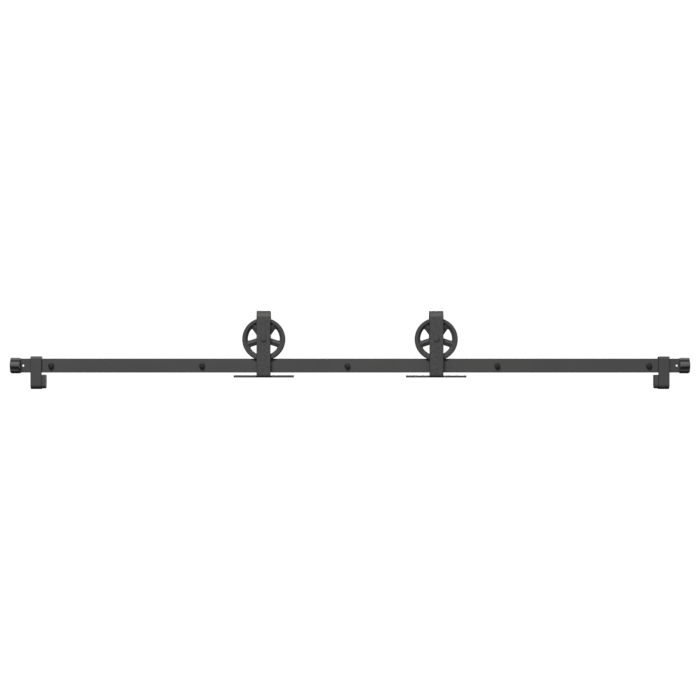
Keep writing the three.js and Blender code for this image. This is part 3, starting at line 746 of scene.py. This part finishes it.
def end_cap(word, side):
    """Fluted rubber cap, pushed over the end of the rail."""
    node = f"{word}_end_cap"
    low, high = span(node)
    length = high.x - low.x
    mouth = low.x if side > 0 else high.x
    skin = Skin()
    crown = edge_rows(0, length, CAP_EDGE, 5)[:6]
    rows = skin.sheet(lobed_outline(), crown)
    rows += [[Vector((*p, height)) for p in lobed_outline(limit)] for height, limit in CAP_LIP]
    sides = skin.strip(rows)
    wide, tall = CAP_SLOT[0] / 2, CAP_SLOT[1] / 2
    opening = clockwise(block(-wide, -tall, wide, tall, CAP_SLOT_CORNER))
    slot, floor = skin.wall(opening, [(0, 0), (0, CAP_SLOT_DEPTH)])
    skin.fill(sides[0])
    skin.fill(sides[-1], slot)
    skin.fill(floor)
    # How deep each point lies in a groove; the rubber finish turns this into painted shade.
    groove = skin.mesh.verts.layers.float.new("groove")
    for vert in skin.mesh.verts:
        turn = math.degrees(math.atan2(vert.co.y, vert.co.x))
        vert[groove] = groove_depth(turn) if vert.co.xy.length > CAP_SLOT[1] / 2 else 0.0
    centre = middle("rail")
    skin.place(axes((0, -1, 0), (0, 0, 1), (side, 0, 0), (mouth, centre.y, centre.z)))
    return piece(f"{word}_cap_moulding", skin, "rail", [node], CAP_RUBBER)


# ---- hangers


def strap(word):
    """Flat bar bent over the wheel, with a base plate folded out for the top of the door."""
    node = f"{word}_strap"
    low, high = span(node)
    axle = middle(f"{word}_wheel")
    half = STRAP_THICKNESS / 2
    wide = STRAP_HALF_WIDTH
    front_y = low.y + half
    rear_y = front_y + 2 * STRAP_TURN
    bend_z = high.z - half - STRAP_TURN
    tail_z = axle.z - wide
    base_z = low.z + half
    route = [
        run(bend_z - tail_z),
        bend(STRAP_TURN, 180),
        run(bend_z - base_z - BASE_TURN),
        bend(BASE_TURN, 90),
        run(BASE_DEPTH),
    ]
    length = sum(step[0] for step in route)
    root = length - BASE_DEPTH
    base = (high.x - low.x) / 2
    outline = arc((0, wide), wide, 180, 360, 32)
    outline += rounded([(wide, root), (base, root, BASE_ROOT_CORNER), (base, length, BASE_CORNER),
                        (-base, length, BASE_CORNER), (-base, root, BASE_ROOT_CORNER), (-wide, root)],
                       closed=False)
    front_axle = bend_z - tail_z + route[1][0] + bend_z - axle.z
    neck = block(-AXLE_HOLE_HALF, front_axle - AXLE_HOLE_HALF, AXLE_HOLE_HALF, front_axle + AXLE_HOLE_HALF,
                 AXLE_HOLE_CORNER)
    holes = [drilled(AXLE_HOLE_HALF, half, (0, wide)), (clockwise(neck), edge_rows(-half, half, 0.2, 1))]
    for x in DOOR_SCREW_PLACES:
        for mirrored in (-x, x):
            holes.append(countersunk(DOOR_SCREW_HOLE / 2, DOOR_SCREW_SINK / 2, half,
                                     (mirrored, root + DOOR_SCREW_BACK)))
    skin = flat_blank(outline, holes, half, STRAP_EDGE)
    fold(skin, route, (rear_y, tail_z), math.pi / 2, axle.x)
    return piece(f"{word}_strap_bar", skin, f"{word}_hanger", [node], STRAP_COAT)


def soft_max(a, b, width):
    """The larger of two heights, with a fillet where they cross."""
    share = max(width - abs(a - b), 0) / width
    return max(a, b) + share * share * width / 4


def spoke_height(point):
    """Half the casting's thickness at a point between the hub and the ring."""
    half = math.pi / SPOKES
    turn = (math.atan2(point.y, point.x) + half) % (2 * half) - half
    radius = point.length
    across = radius * math.sin(half - abs(turn))
    gable = SPOKE_EDGE_HALF + (SPOKE_RIDGE_HALF - SPOKE_EDGE_HALF) * (1 - min(abs(across) / SPOKE_HALF, 1))
    slope = RIM_WEB_HALF + (radius - RIM_SLOPE_START) * (WHEEL_HALF - RIM_WEB_HALF) / RIM_SLOPE
    raised = soft_max(gable, slope, SPOKE_FILLET)
    return -soft_max(-raised, -WHEEL_HALF, FACE_FILLET)


def window_side():
    """Half of a window's edge, from the middle of its outer side to its tip, as three lines."""
    half = math.pi / SPOKES
    along = Vector((math.cos(half), math.sin(half)))
    inwards = Vector((math.sin(half), -math.cos(half)))
    reach = math.sqrt((WINDOW_RADIUS - WINDOW_CORNER) ** 2 - (SPOKE_HALF + WINDOW_CORNER) ** 2)
    corner = along * reach + inwards * (SPOKE_HALF + WINDOW_CORNER)
    tip = Vector(((SPOKE_HALF + WINDOW_TIP) / math.sin(half), 0))
    outer_turn = math.degrees(math.atan2(corner.y, corner.x))
    spoke_turn = math.degrees(math.atan2(-inwards.y, -inwards.x))
    corner_middle = (outer_turn + spoke_turn) / 2
    tip_middle = (spoke_turn + 180) / 2
    outer = arc((0, 0), WINDOW_RADIUS, 0, outer_turn, 16)
    outer += arc(corner, WINDOW_CORNER, outer_turn, corner_middle, 8)[1:]
    flank = arc(corner, WINDOW_CORNER, corner_middle, spoke_turn, 8)
    flank += arc(tip, WINDOW_TIP, spoke_turn, tip_middle, 6)
    end = arc(tip, WINDOW_TIP, tip_middle, 180, 8)
    return outer, flank, end


def window_edges():
    """A window's edge, and the edge of the sector round it, point for point, anticlockwise."""
    half = math.degrees(math.pi / SPOKES)
    outer, flank, end = window_side()
    near = spread(outer, 12) + spread(flank, 16)[1:] + spread(end, 6)[1:]
    ring = arc((0, 0), RING_INNER, 0, half, 12)
    hub = arc((0, 0), HUB_RADIUS, half, 0, 6)
    far = ring + spread([ring[-1], hub[0]], 16)[1:] + hub[1:]
    mirror = [[Vector((p.x, -p.y)) for p in reversed(line[1:-1])] for line in (near, far)]
    return near + mirror[0], far + mirror[1]


def spoked_web(skin):
    """Front and back faces of the five spokes and the sloping rim, with the windows' walls."""
    near, far = window_edges()
    rows = [(math.pi / 2 * k / 5, 0) for k in range(6)]
    rows += [(math.pi / 2, k / 11) for k in range(1, 12)]
    for n in range(SPOKES):
        spin = Matrix.Rotation(2 * math.pi * (n + 0.5) / SPOKES - math.pi / 2, 2)
        faces = {1: [], -1: []}
        for turn, share in rows:
            for side, face in faces.items():
                row = []
                for a, b in zip(near, far):
                    reach = (b - a).length
                    edge = min(WINDOW_EDGE, reach * 0.5)
                    gone = edge * (1 - math.cos(turn))
                    spot = a.lerp(b, (gone + (reach - edge) * share) / reach)
                    height = spoke_height(spot) - edge * (1 - math.sin(turn))
                    spot = spin @ spot
                    row.append(Vector((spot.x, side * height, spot.y)))
                face.append(row)
        skin.strip(faces[1])
        skin.strip(faces[-1])
        skin.strip([faces[1][0], faces[-1][0]])


def wheel(word):
    """Cast wheel with a grooved tread, two flanges, five ridged spokes and a bored hub."""
    node = f"{word}_wheel"
    skin = Skin()
    spoked_web(skin)
    ring = rounded([(RING_INNER, spoke_height(Vector((RING_INNER, 0)))),
                    (FLANGE_RADIUS, WHEEL_HALF, FLANGE_EDGE), (FLANGE_RADIUS, GROOVE_TOP_HALF, 0.8),
                    (TREAD_RADIUS, GROOVE_FLOOR_HALF, 1.2), (TREAD_RADIUS, 0)], closed=False, steps=6)
    skin.strip(turned(there_and_back(ring), 120))
    hub = rounded([(HUB_RADIUS, HUB_ROOT_HALF), (HUB_RADIUS, WHEEL_HALF, 1), (BEARING_SEAT, WHEEL_HALF, 0.4),
                   (BEARING_SEAT, BEARING_STOP_HALF), (BEARING_STOP_RADIUS, BEARING_STOP_HALF, 0.3),
                   (BEARING_STOP_RADIUS, 0)], closed=False)
    rows = turned(there_and_back(hub), 60)
    roots = [[Vector((p.x, side * spoke_height(hub_point(p)), p.z)) for p in rows[0]] for side in (1, -1)]
    skin.strip([roots[0], *rows, roots[1]])
    skin.place(Matrix.Translation(middle(node)))
    return piece(f"{word}_wheel_casting", skin, f"{word}_wheel", [node], WHEEL_COAT)


def hub_point(point):
    """A point of the wheel, in the turn that spoke_height() counts from."""
    return Matrix.Rotation(math.pi / 2 - math.pi / SPOKES, 2) @ Vector((point.x, point.z))


def race(seat, shoulder, edge):
    """Outline of a bearing ring: the ball track, then its faces and its seat."""
    bite = math.degrees(math.acos(abs(BALL_PITCH - shoulder) / TRACK_RADIUS))
    facing = 0 if shoulder > BALL_PITCH else 180
    track = arc((BALL_PITCH, 0), TRACK_RADIUS, facing - bite, facing + bite, 10)
    if shoulder < BALL_PITCH:
        track.reverse()
    return track + rounded([(shoulder, BEARING_HALF, edge), (seat, BEARING_HALF, edge),
                            (seat, -BEARING_HALF, edge), (shoulder, -BEARING_HALF, edge)])


def bearing_rings(word):
    """Ground rings of the two ball bearings: the outer pair turns with the wheel, the inner one doesn't."""
    for kind, body, outline in (("outer", "wheel", race(BEARING_RADIUS, OUTER_SHOULDER, 0.4)),
                                ("inner", "hanger", race(AXLE_RADIUS + 0.05, INNER_SHOULDER, 0.3))):
        skin = Skin()
        for offset in (-BEARING_OFFSET, BEARING_OFFSET):
            skin.strip(turned([(p.x, p.y + offset) for p in outline + outline[:1]], 64))
        skin.place(Matrix.Translation(middle(f"{word}_wheel")))
        nodes = [f"{word}_{side}_{kind}_ring" for side in ("front", "rear")]
        name = f"{word}_{kind}_bearing_rings"
        piece(name, skin, f"{word}_{body}", nodes, BEARING_STEEL)


# ---- repeated parts, made by node trees

QUARTER_TURN = (math.pi / 2, 0, 0)  # lays a shape's z along -y


class PartTree(Bench):
    """A geometry node tree that puts one part at each of its places."""

    def __init__(self, name, material):
        tree = bpy.data.node_groups.new(name, "GeometryNodeTree")
        super().__init__(tree)
        tree.interface.new_socket("Places", in_out="INPUT", socket_type="NodeSocketGeometry")
        tree.interface.new_socket("Part", in_out="OUTPUT", socket_type="NodeSocketGeometry")
        self.entry = tree.nodes.new("NodeGroupInput")
        self.exit = tree.nodes.new("NodeGroupOutput")
        self.material = material

    def sizes(self, values):
        """Named inputs of the tree with their usual values; returns a wire for each."""
        for name, value in values.items():
            kind = "NodeSocketInt" if isinstance(value, int) else "NodeSocketFloat"
            socket = self.tree.interface.new_socket(name, in_out="INPUT", socket_type=kind)
            socket.default_value = value
        return [Wire(self, self.entry.outputs[name]) for name in values]

    def surface(self, rows, around, shape):
        """A sheet bent round y; shape gives (radius, along) from a row's number and the turn about y."""
        grid = {"Size X": 1.0, "Size Y": 1.0, "Vertices X": rows + 1, "Vertices Y": around + 1}
        sheet = self.add("GeometryNodeMeshGrid", {}, grid, "Mesh")
        spot = self.add("GeometryNodeInputPosition")
        row = self.add("ShaderNodeSeparateXYZ", {}, {0: spot}, "X") * rows + rows * 0.5
        turn = self.add("ShaderNodeSeparateXYZ", {}, {0: spot}, "Y") * math.tau + math.pi
        radius, along = shape(row, turn)
        spot = {0: radius * turn.cos(), 1: along, 2: radius * turn.sin()}
        bent = self.add("ShaderNodeCombineXYZ", {}, spot)
        shaped = self.add("GeometryNodeSetPosition", {}, {"Geometry": sheet, "Position": bent})
        return self.add("GeometryNodeMergeByDistance", {}, {"Geometry": shaped, "Distance": 0.004})

    def rod(self, start, length, radius, pitch, depth, plain, point, tip, turns, around=36):
        """A closed rod with a helical thread past its plain length; its end tapers to a share of the radius.

        The sheet's rows follow the helix, so that the thread's crest and root are unbroken lines.
        """
        each = 6

        def shape(row, turn):
            step = (row - 1) * (1 / each) + turn * (1 / math.tau) - 1
            along = (step * pitch).upper(0).lower(length)
            wave = (1 - ((row * (1 / each)).part() * 2 - 1).size() * 1.7).upper(0)
            cut = ((along - plain) * 0.8).upper(0).lower(1) * ((length - along) * 2).lower(1)
            taper = ((length - along) / point).upper(tip).lower(1)
            closed = (row > 0.5) * (row < (turns + 1) * each - 0.5)
            return (radius - depth * cut * (1 - wave)) * taper * closed, along + start
        return self.surface((turns + 1) * each, around, shape)

    def hexagon(self, across, height, bore=0.0, both=False):
        """A hexagon head from 0 to its height along y, chamfered at its outer face, or a nut with a bore.

        The rows are the face, the edge of the chamfer, and the same again at the other end.
        """
        rows = 6 if bore else 5

        def shape(row, turn):
            flat = (turn * (3 / math.pi)).part() * (math.pi / 3) - math.pi / 6
            side = across * 0.5 / flat.cos()
            face = across * 0.475
            drop = (side - face) * (1 / 1.8)
            far = drop * both
            level = (row > 1.5) * drop + (row > 2.5) * (height - drop - far) + (row > 3.5) * far
            reach = face + (side - face) * ((row > 1.5) - (row > 3.5) * both)
            closed = (row > 0.5) * (row < 4.5)
            return reach * closed + (1 - closed) * bore, level * (row < 5.5)
        return self.surface(rows, 72, shape)

    def ring(self, inner, outer, length, edge):
        """A ring about y with rounded edges, from 0 to its length."""
        line = self.add("GeometryNodeCurvePrimitiveCircle", {"mode": "RADIUS"},
                        {"Resolution": 56, "Radius": (inner + outer) * 0.25}, "Curve")
        block = self.add("GeometryNodeCurvePrimitiveQuadrilateral", {"mode": "RECTANGLE"},
                         {"Width": (outer - inner) * 0.5, "Height": length})
        block = self.add("GeometryNodeFilletCurve", {"mode": "POLY"},
                         {"Curve": block, "Count": 3, "Radius": edge, "Limit Radius": True})
        hoop = self.add("GeometryNodeCurveToMesh", {}, {"Curve": line, "Profile Curve": block})
        lift = self.add("ShaderNodeCombineXYZ", {}, {1: length * 0.5})
        return self.moved(hoop, Rotation=QUARTER_TURN, Translation=lift)

    def key_socket(self, part, across, depth):
        """The part with a hexagon socket sunk into its face at 0."""
        key = {"Vertices": 6, "Radius": across * (1 / math.sqrt(3)), "Depth": depth * 2}
        tool = self.add("GeometryNodeMeshCylinder", {}, key, "Mesh")
        tool = self.moved(tool, Rotation=QUARTER_TURN)
        return self.add("GeometryNodeMeshBoolean", {"operation": "DIFFERENCE", "solver": "EXACT"},
                        {"Mesh 1": part, "Mesh 2": tool}, "Mesh")

    def moved(self, part, **how):
        """The part under a Rotation, a Translation or both."""
        return self.add("GeometryNodeTransform", {}, {"Geometry": part, **how})

    def joined(self, *parts):
        return self.add("GeometryNodeJoinGeometry", {}, {"Geometry": list(parts)})

    def finish(self, part, turn_step=0.0, facing=0.0):
        """Puts the part at each place, each turned a little more than the last, with its material."""
        number = self.add("GeometryNodeInputIndex")
        spin = self.add("ShaderNodeCombineXYZ", {}, {1: number * turn_step, 2: facing})
        places = Wire(self, self.entry.outputs["Places"])
        placed = self.add("GeometryNodeInstanceOnPoints", {},
                          {"Points": places, "Instance": part, "Rotation": spin})
        real = self.add("GeometryNodeRealizeInstances", {}, {"Geometry": placed})
        painted = self.add("GeometryNodeSetMaterial", {}, {"Geometry": real, "Material": self.material})
        self.feed(self.exit.inputs["Part"], painted)

    def make(self, name, places, sizes):
        """Runs the tree at these places with these sizes, and returns the mesh."""
        host = bpy.data.meshes.new(name)
        host.from_pydata([tuple(place) for place in places], [], [])
        holder = bpy.data.objects.new(name + ".places", host)
        scene.collection.objects.link(holder)
        modifier = holder.modifiers.new("parts", "NODES")
        modifier.node_group = self.tree
        for item in self.tree.interface.items_tree:
            if item.in_out == "INPUT" and item.name in sizes:
                modifier[item.identifier] = sizes[item.name]
        view = bpy.context.evaluated_depsgraph_get()
        mesh = bpy.data.meshes.new_from_object(holder.evaluated_get(view), depsgraph=view)
        holder.modifiers.remove(modifier)
        bpy.data.objects.remove(holder)
        tidy = bmesh.new()
        tidy.from_mesh(mesh)
        bmesh.ops.recalc_face_normals(tidy, faces=tidy.faces)
        for face in tidy.faces:
            face.material_index = 0
        tidy.to_mesh(mesh)
        tidy.free()
        mesh.materials.clear()
        mesh.materials.append(self.material)
        return mesh


def lag_bolt_tree():
    """Hexagon head coach screw: chamfered head, plain neck, coarse thread and a gimlet point."""
    tree = PartTree("lag_bolt", BLACK_BOLT)
    across, height, radius, length, pitch, depth, plain, point = tree.sizes({
        "Head across flats": 13.0, "Head height": 5.5, "Shank radius": 4.0, "Length": 80.0,
        "Thread pitch": 3.2, "Thread depth": 1.1, "Plain length": 30.0, "Point length": 9.0,
    })
    head = tree.hexagon(across, height)
    shank = tree.rod(height - 1, length + 1, radius, pitch, depth, plain, point, 0.06, 27)
    tree.finish(tree.joined(head, shank), math.radians(25))
    return tree


def ring_tree(name, material):
    """Plain ring with rounded edges: a washer, a spacer or a sleeve."""
    tree = PartTree(name, material)
    inner, outer, length, edge = tree.sizes({
        "Inner diameter": 9.0, "Outer diameter": 20.0, "Length": 35.0, "Edge radius": 0.4,
    })
    tree.finish(tree.ring(inner, outer, length, edge))
    return tree


def set_screw_tree():
    """Headless screw with a key socket in its end."""
    tree = PartTree("set_screw", BLACK_BOLT)
    radius, length, pitch, key = tree.sizes({"Radius": 2.5, "Length": 9.0, "Thread pitch": 0.8, "Key": 2.5})
    body = tree.rod(0.0, length, radius, pitch, 0.35, 0.0, 1.2, 0.6, 13)
    tree.finish(tree.key_socket(body, key, 3.0), facing=math.pi)
    return tree


def button_screw_tree():
    """Button head screw with a key socket."""
    tree = PartTree("button_screw", BLACK_BOLT)
    head_radius, height, radius, length, key = tree.sizes({
        "Head radius": 3.5, "Head height": 2.4, "Radius": 2.0, "Length": 14.0, "Key": 2.5,
    })

    def button(row, turn):
        level = (row - 1).upper(0).lower(8) * (height * (1 / 8))
        share = level / height
        dome = (1 - (1 - share) ** 2.6) * 0.42 + 0.58
        return head_radius * dome * (row > 0.5) * (row < 9.5), level
    head = tree.key_socket(tree.surface(10, 36, button), key, 1.5)
    shank = tree.rod(height - 0.4, length + 0.4, radius, 0.7, 0.3, 0.0, 1.4, 0.75, 22)
    tree.finish(tree.joined(head, shank), facing=math.pi)
    return tree


def axle_bolt_tree():
    """Low domed bolt with a square neck and a machine thread at its end."""
    tree = PartTree("axle_bolt", STRAP_COAT)
    head_radius, height, neck, neck_length, radius, length, thread_from = tree.sizes({
        "Head radius": 7.78, "Head height": 2.0, "Neck across flats": 10.0, "Neck length": 4.5,
        "Shank radius": 5.0, "Length": 48.2, "Plain length": 34.0,
    })

    def dome(row, turn):
        swing = (row.upper(0).lower(12)) * (math.pi / 24)
        share = swing.sin()
        rim = 1 - swing.cos()
        level = share * share * 0.3 + rim * rim * rim * 0.3 + (row > 12.5) * 0.39 + 0.01
        return head_radius * share * (row < 13.5), level * height

    def square(row, turn):
        flat = (turn * (2 / math.pi) + 0.5).part() * (math.pi / 2) - math.pi / 4
        closed = (row > 0.5) * (row < 3.5)
        reach = (neck * 0.5 / flat.cos()).lower(neck * 0.66)
        return reach * closed, height - 0.4 + (row - 1).upper(0).lower(2) * (neck_length * 0.5)
    head = tree.surface(14, 48, dome)
    shank = tree.rod(height - 0.2, length + 0.2, radius, 1.5, 0.75, thread_from, 4.2, 0.8, 34)
    tree.finish(tree.joined(head, tree.surface(4, 48, square), shank))
    return tree


def nut_tree():
    """Hexagon nut, chamfered on both faces."""
    tree = PartTree("axle_nut", BLACK_BOLT)
    across, height, bore = tree.sizes({"Across flats": 17.0, "Height": 8.0, "Bore radius": 4.7})
    tree.finish(tree.hexagon(across, height, bore, both=True))
    return tree


def cage_tree():
    """Pressed cage of a ball bearing: a band round the axle, half way along it at each place."""
    tree = PartTree("ball_cage", BRASS)
    pitch, wall, width = tree.sizes({"Pitch radius": 9.0, "Wall": 1.4, "Width": 2.4})
    band = tree.ring(pitch * 2 - wall, pitch * 2 + wall, width, 0.3)
    back = tree.add("ShaderNodeCombineXYZ", {}, {1: width * -0.5})
    tree.finish(tree.moved(band, Translation=back))
    return tree


def balls_tree():
    """The ring of balls in a ball bearing."""
    tree = PartTree("bearing_balls", BEARING_STEEL)
    pitch, ball, count = tree.sizes({"Pitch radius": 9.0, "Ball radius": 2.2, "Balls": 7})
    stations = tree.add("GeometryNodeMeshCircle", {}, {"Vertices": count, "Radius": pitch})
    stations = tree.moved(stations, Rotation=QUARTER_TURN)
    globe = tree.add("GeometryNodeMeshUVSphere", {}, {"Segments": 20, "Rings": 12, "Radius": ball}, "Mesh")
    tree.finish(tree.add("GeometryNodeInstanceOnPoints", {}, {"Points": stations, "Instance": globe}))
    return tree


def numbered(word, count=5):
    return [f"{word}_{n}" for n in range(1, count + 1)]


def fitted(tree, name, body, nodes, sizes=None, end=0):
    """A piece made of the tree's parts, one on each node's axis, from its low y, or its high y for end 1."""
    places = [Vector((middle(node).x, span(node)[end].y, middle(node).z)) for node in nodes]
    return piece(name, tree.make(name, places, sizes or {}), body, nodes)


def thickness(node):
    low, high = span(node)
    return high.y - low.y


def ring_sizes(inner, outer, length, edge):
    return {"Inner diameter": inner, "Outer diameter": outer, "Length": length, "Edge radius": edge}


def wall_fixings():
    """Lag bolts, washers and spacers that hold the rail off the wall."""
    bolts, washers, spacers = (numbered(word) for word in ("lag_bolt", "bolt_washer", "wall_spacer"))
    sizes = {"Length": thickness(bolts[0]) - LAG_HEAD_ALLOWANCE}
    fitted(lag_bolt_tree(), "lag_bolts", "rail", bolts, sizes)
    sizes = ring_sizes(9.0, 16.0, 1.2, 0.3)
    fitted(ring_tree("washer", BLACK_BOLT), "bolt_washers", "rail", washers, sizes)
    sizes = ring_sizes(9.0, 20.0, thickness(spacers[0]), 0.6)
    fitted(ring_tree("spacer", COAT), "wall_spacers", "rail", spacers, sizes)


def stop_screws(word):
    """The stop's two clamping screws, and the one that holds its bumper; they go in from behind."""
    grubs = numbered(f"{word}_stop_set_screw", 2)
    fitted(set_screw_tree(), f"{word}_set_screws", "rail", grubs, end=1)
    button = [f"{word}_bumper_screw"]
    fitted(button_screw_tree(), f"{word}_bumper_fixing", "rail", button, end=1)


def axle_parts(word):
    """Axle bolt and nut, the sleeve between the bearings and the spacers beside them."""
    body = f"{word}_hanger"
    fitted(axle_bolt_tree(), f"{word}_axle_bolt_turned", body, [f"{word}_axle_bolt"])
    fitted(nut_tree(), f"{word}_axle_nut_turned", body, [f"{word}_axle_nut"])
    tree = ring_tree("axle_ring", ZINC)
    for kind, outer in (("bearing_sleeve", 13.1), ("axle_spacer_front", 14.0), ("axle_spacer_rear", 14.0)):
        node = f"{word}_{kind}"
        sizes = ring_sizes(10.3, outer, thickness(node), 0.2)
        fitted(tree, node + "_turned", body, [node], sizes)


def ball_cages(word):
    """Cages and balls of the two bearings, which go round at a little over half the wheel's rate."""
    nodes = [f"{word}_{side}_ball_cage" for side in ("front", "rear")]
    axle = middle(f"{word}_wheel")
    places = [Vector((axle.x, middle(node).y, axle.z)) for node in nodes]
    cages = cage_tree().make(f"{word}_cages", places, {})
    piece(f"{word}_ball_cages_made", cages, f"{word}_ball_cages", nodes)
    balls = balls_tree().make(f"{word}_balls", places, {})
    piece(f"{word}_bearing_balls", balls, f"{word}_ball_cages", [])


# ---- the whole set

rail()
wall_fixings()
for word, side in (("left", -1), ("right", 1)):
    end_cap(word, side)
    stop_plate(word)
    stop_bumper(word, -side)
    stop_screws(word)
    strap(word)
    wheel(word)
    bearing_rings(word)
    axle_parts(word)
    ball_cages(word)


# ---- studio


def floor_sheet():
    """Plain pale floor, well below the rail."""
    skin = Skin()
    corners = ((-5, -5), (5, -5), (5, 1.3), (-5, 1.3))
    skin.fill([skin.mesh.verts.new((x, y, FLOOR_HEIGHT)) for x, y in corners])
    mesh = bpy.data.meshes.new("floor")
    skin.mesh.to_mesh(mesh)
    skin.mesh.free()
    mesh.materials.append(matt_floor("floor_matt"))
    floor = bpy.data.objects.new("floor", mesh)
    scene.collection.objects.link(floor)
    floor.visible_diffuse = False
    floor.visible_glossy = False


def soft_light(name, place, power):
    """A soft box, 3 m by 2 m, aimed at the middle of the set."""
    lamp = bpy.data.lights.new(name, "AREA")
    lamp.shape = "RECTANGLE"
    lamp.size = 3
    lamp.size_y = 2
    lamp.energy = power
    holder = bpy.data.objects.new(name, lamp)
    holder.location = place
    holder.rotation_euler = (-Vector(place)).to_track_quat("-Z", "Y").to_euler()
    scene.collection.objects.link(holder)


def studio():
    """White surroundings that are seen as white, and light the set more from above than from below."""
    world = bpy.data.worlds.new("studio")
    world.use_nodes = True
    bench = Bench(world.node_tree)
    backdrop = world.node_tree.nodes["Background"]
    direction = bench.add("ShaderNodeTexCoord", output="Generated")
    height = bench.add("ShaderNodeSeparateXYZ", {}, {0: direction}, "Z")
    light = height.upper(0) * 0.3 + (height + 1) * 0.09 + 0.012
    seen = bench.add("ShaderNodeLightPath", output="Is Camera Ray")
    bench.feed(backdrop.inputs["Color"], (1, 1, 1, 1))
    bench.feed(backdrop.inputs["Strength"], seen * 1.05 + (1 - seen) * light)
    scene.world = world
    scene.view_settings.view_transform = "Standard"
    scene.view_settings.look = "None"
    soft_light("key", (-1.5, -5.3, 5.9), 800)
    soft_light("rear_fill", (1.5, 6.5, 1.8), 620)
    soft_light("front_fill", (0.8, -7.0, 1.0), 60)


def camera():
    """Level camera straight in front of the rail, a little above its middle."""
    lens = bpy.data.cameras.new("camera")
    lens.sensor_width = 36
    lens.lens = CAMERA_LENS
    holder = bpy.data.objects.new("camera", lens)
    holder.location = (0, span("rail")[0].y * MM - CAMERA_DISTANCE, CAMERA_HEIGHT)
    holder.rotation_euler = (math.pi / 2, 0, 0)
    scene.collection.objects.link(holder)
    scene.camera = holder


floor_sheet()
studio()
camera()
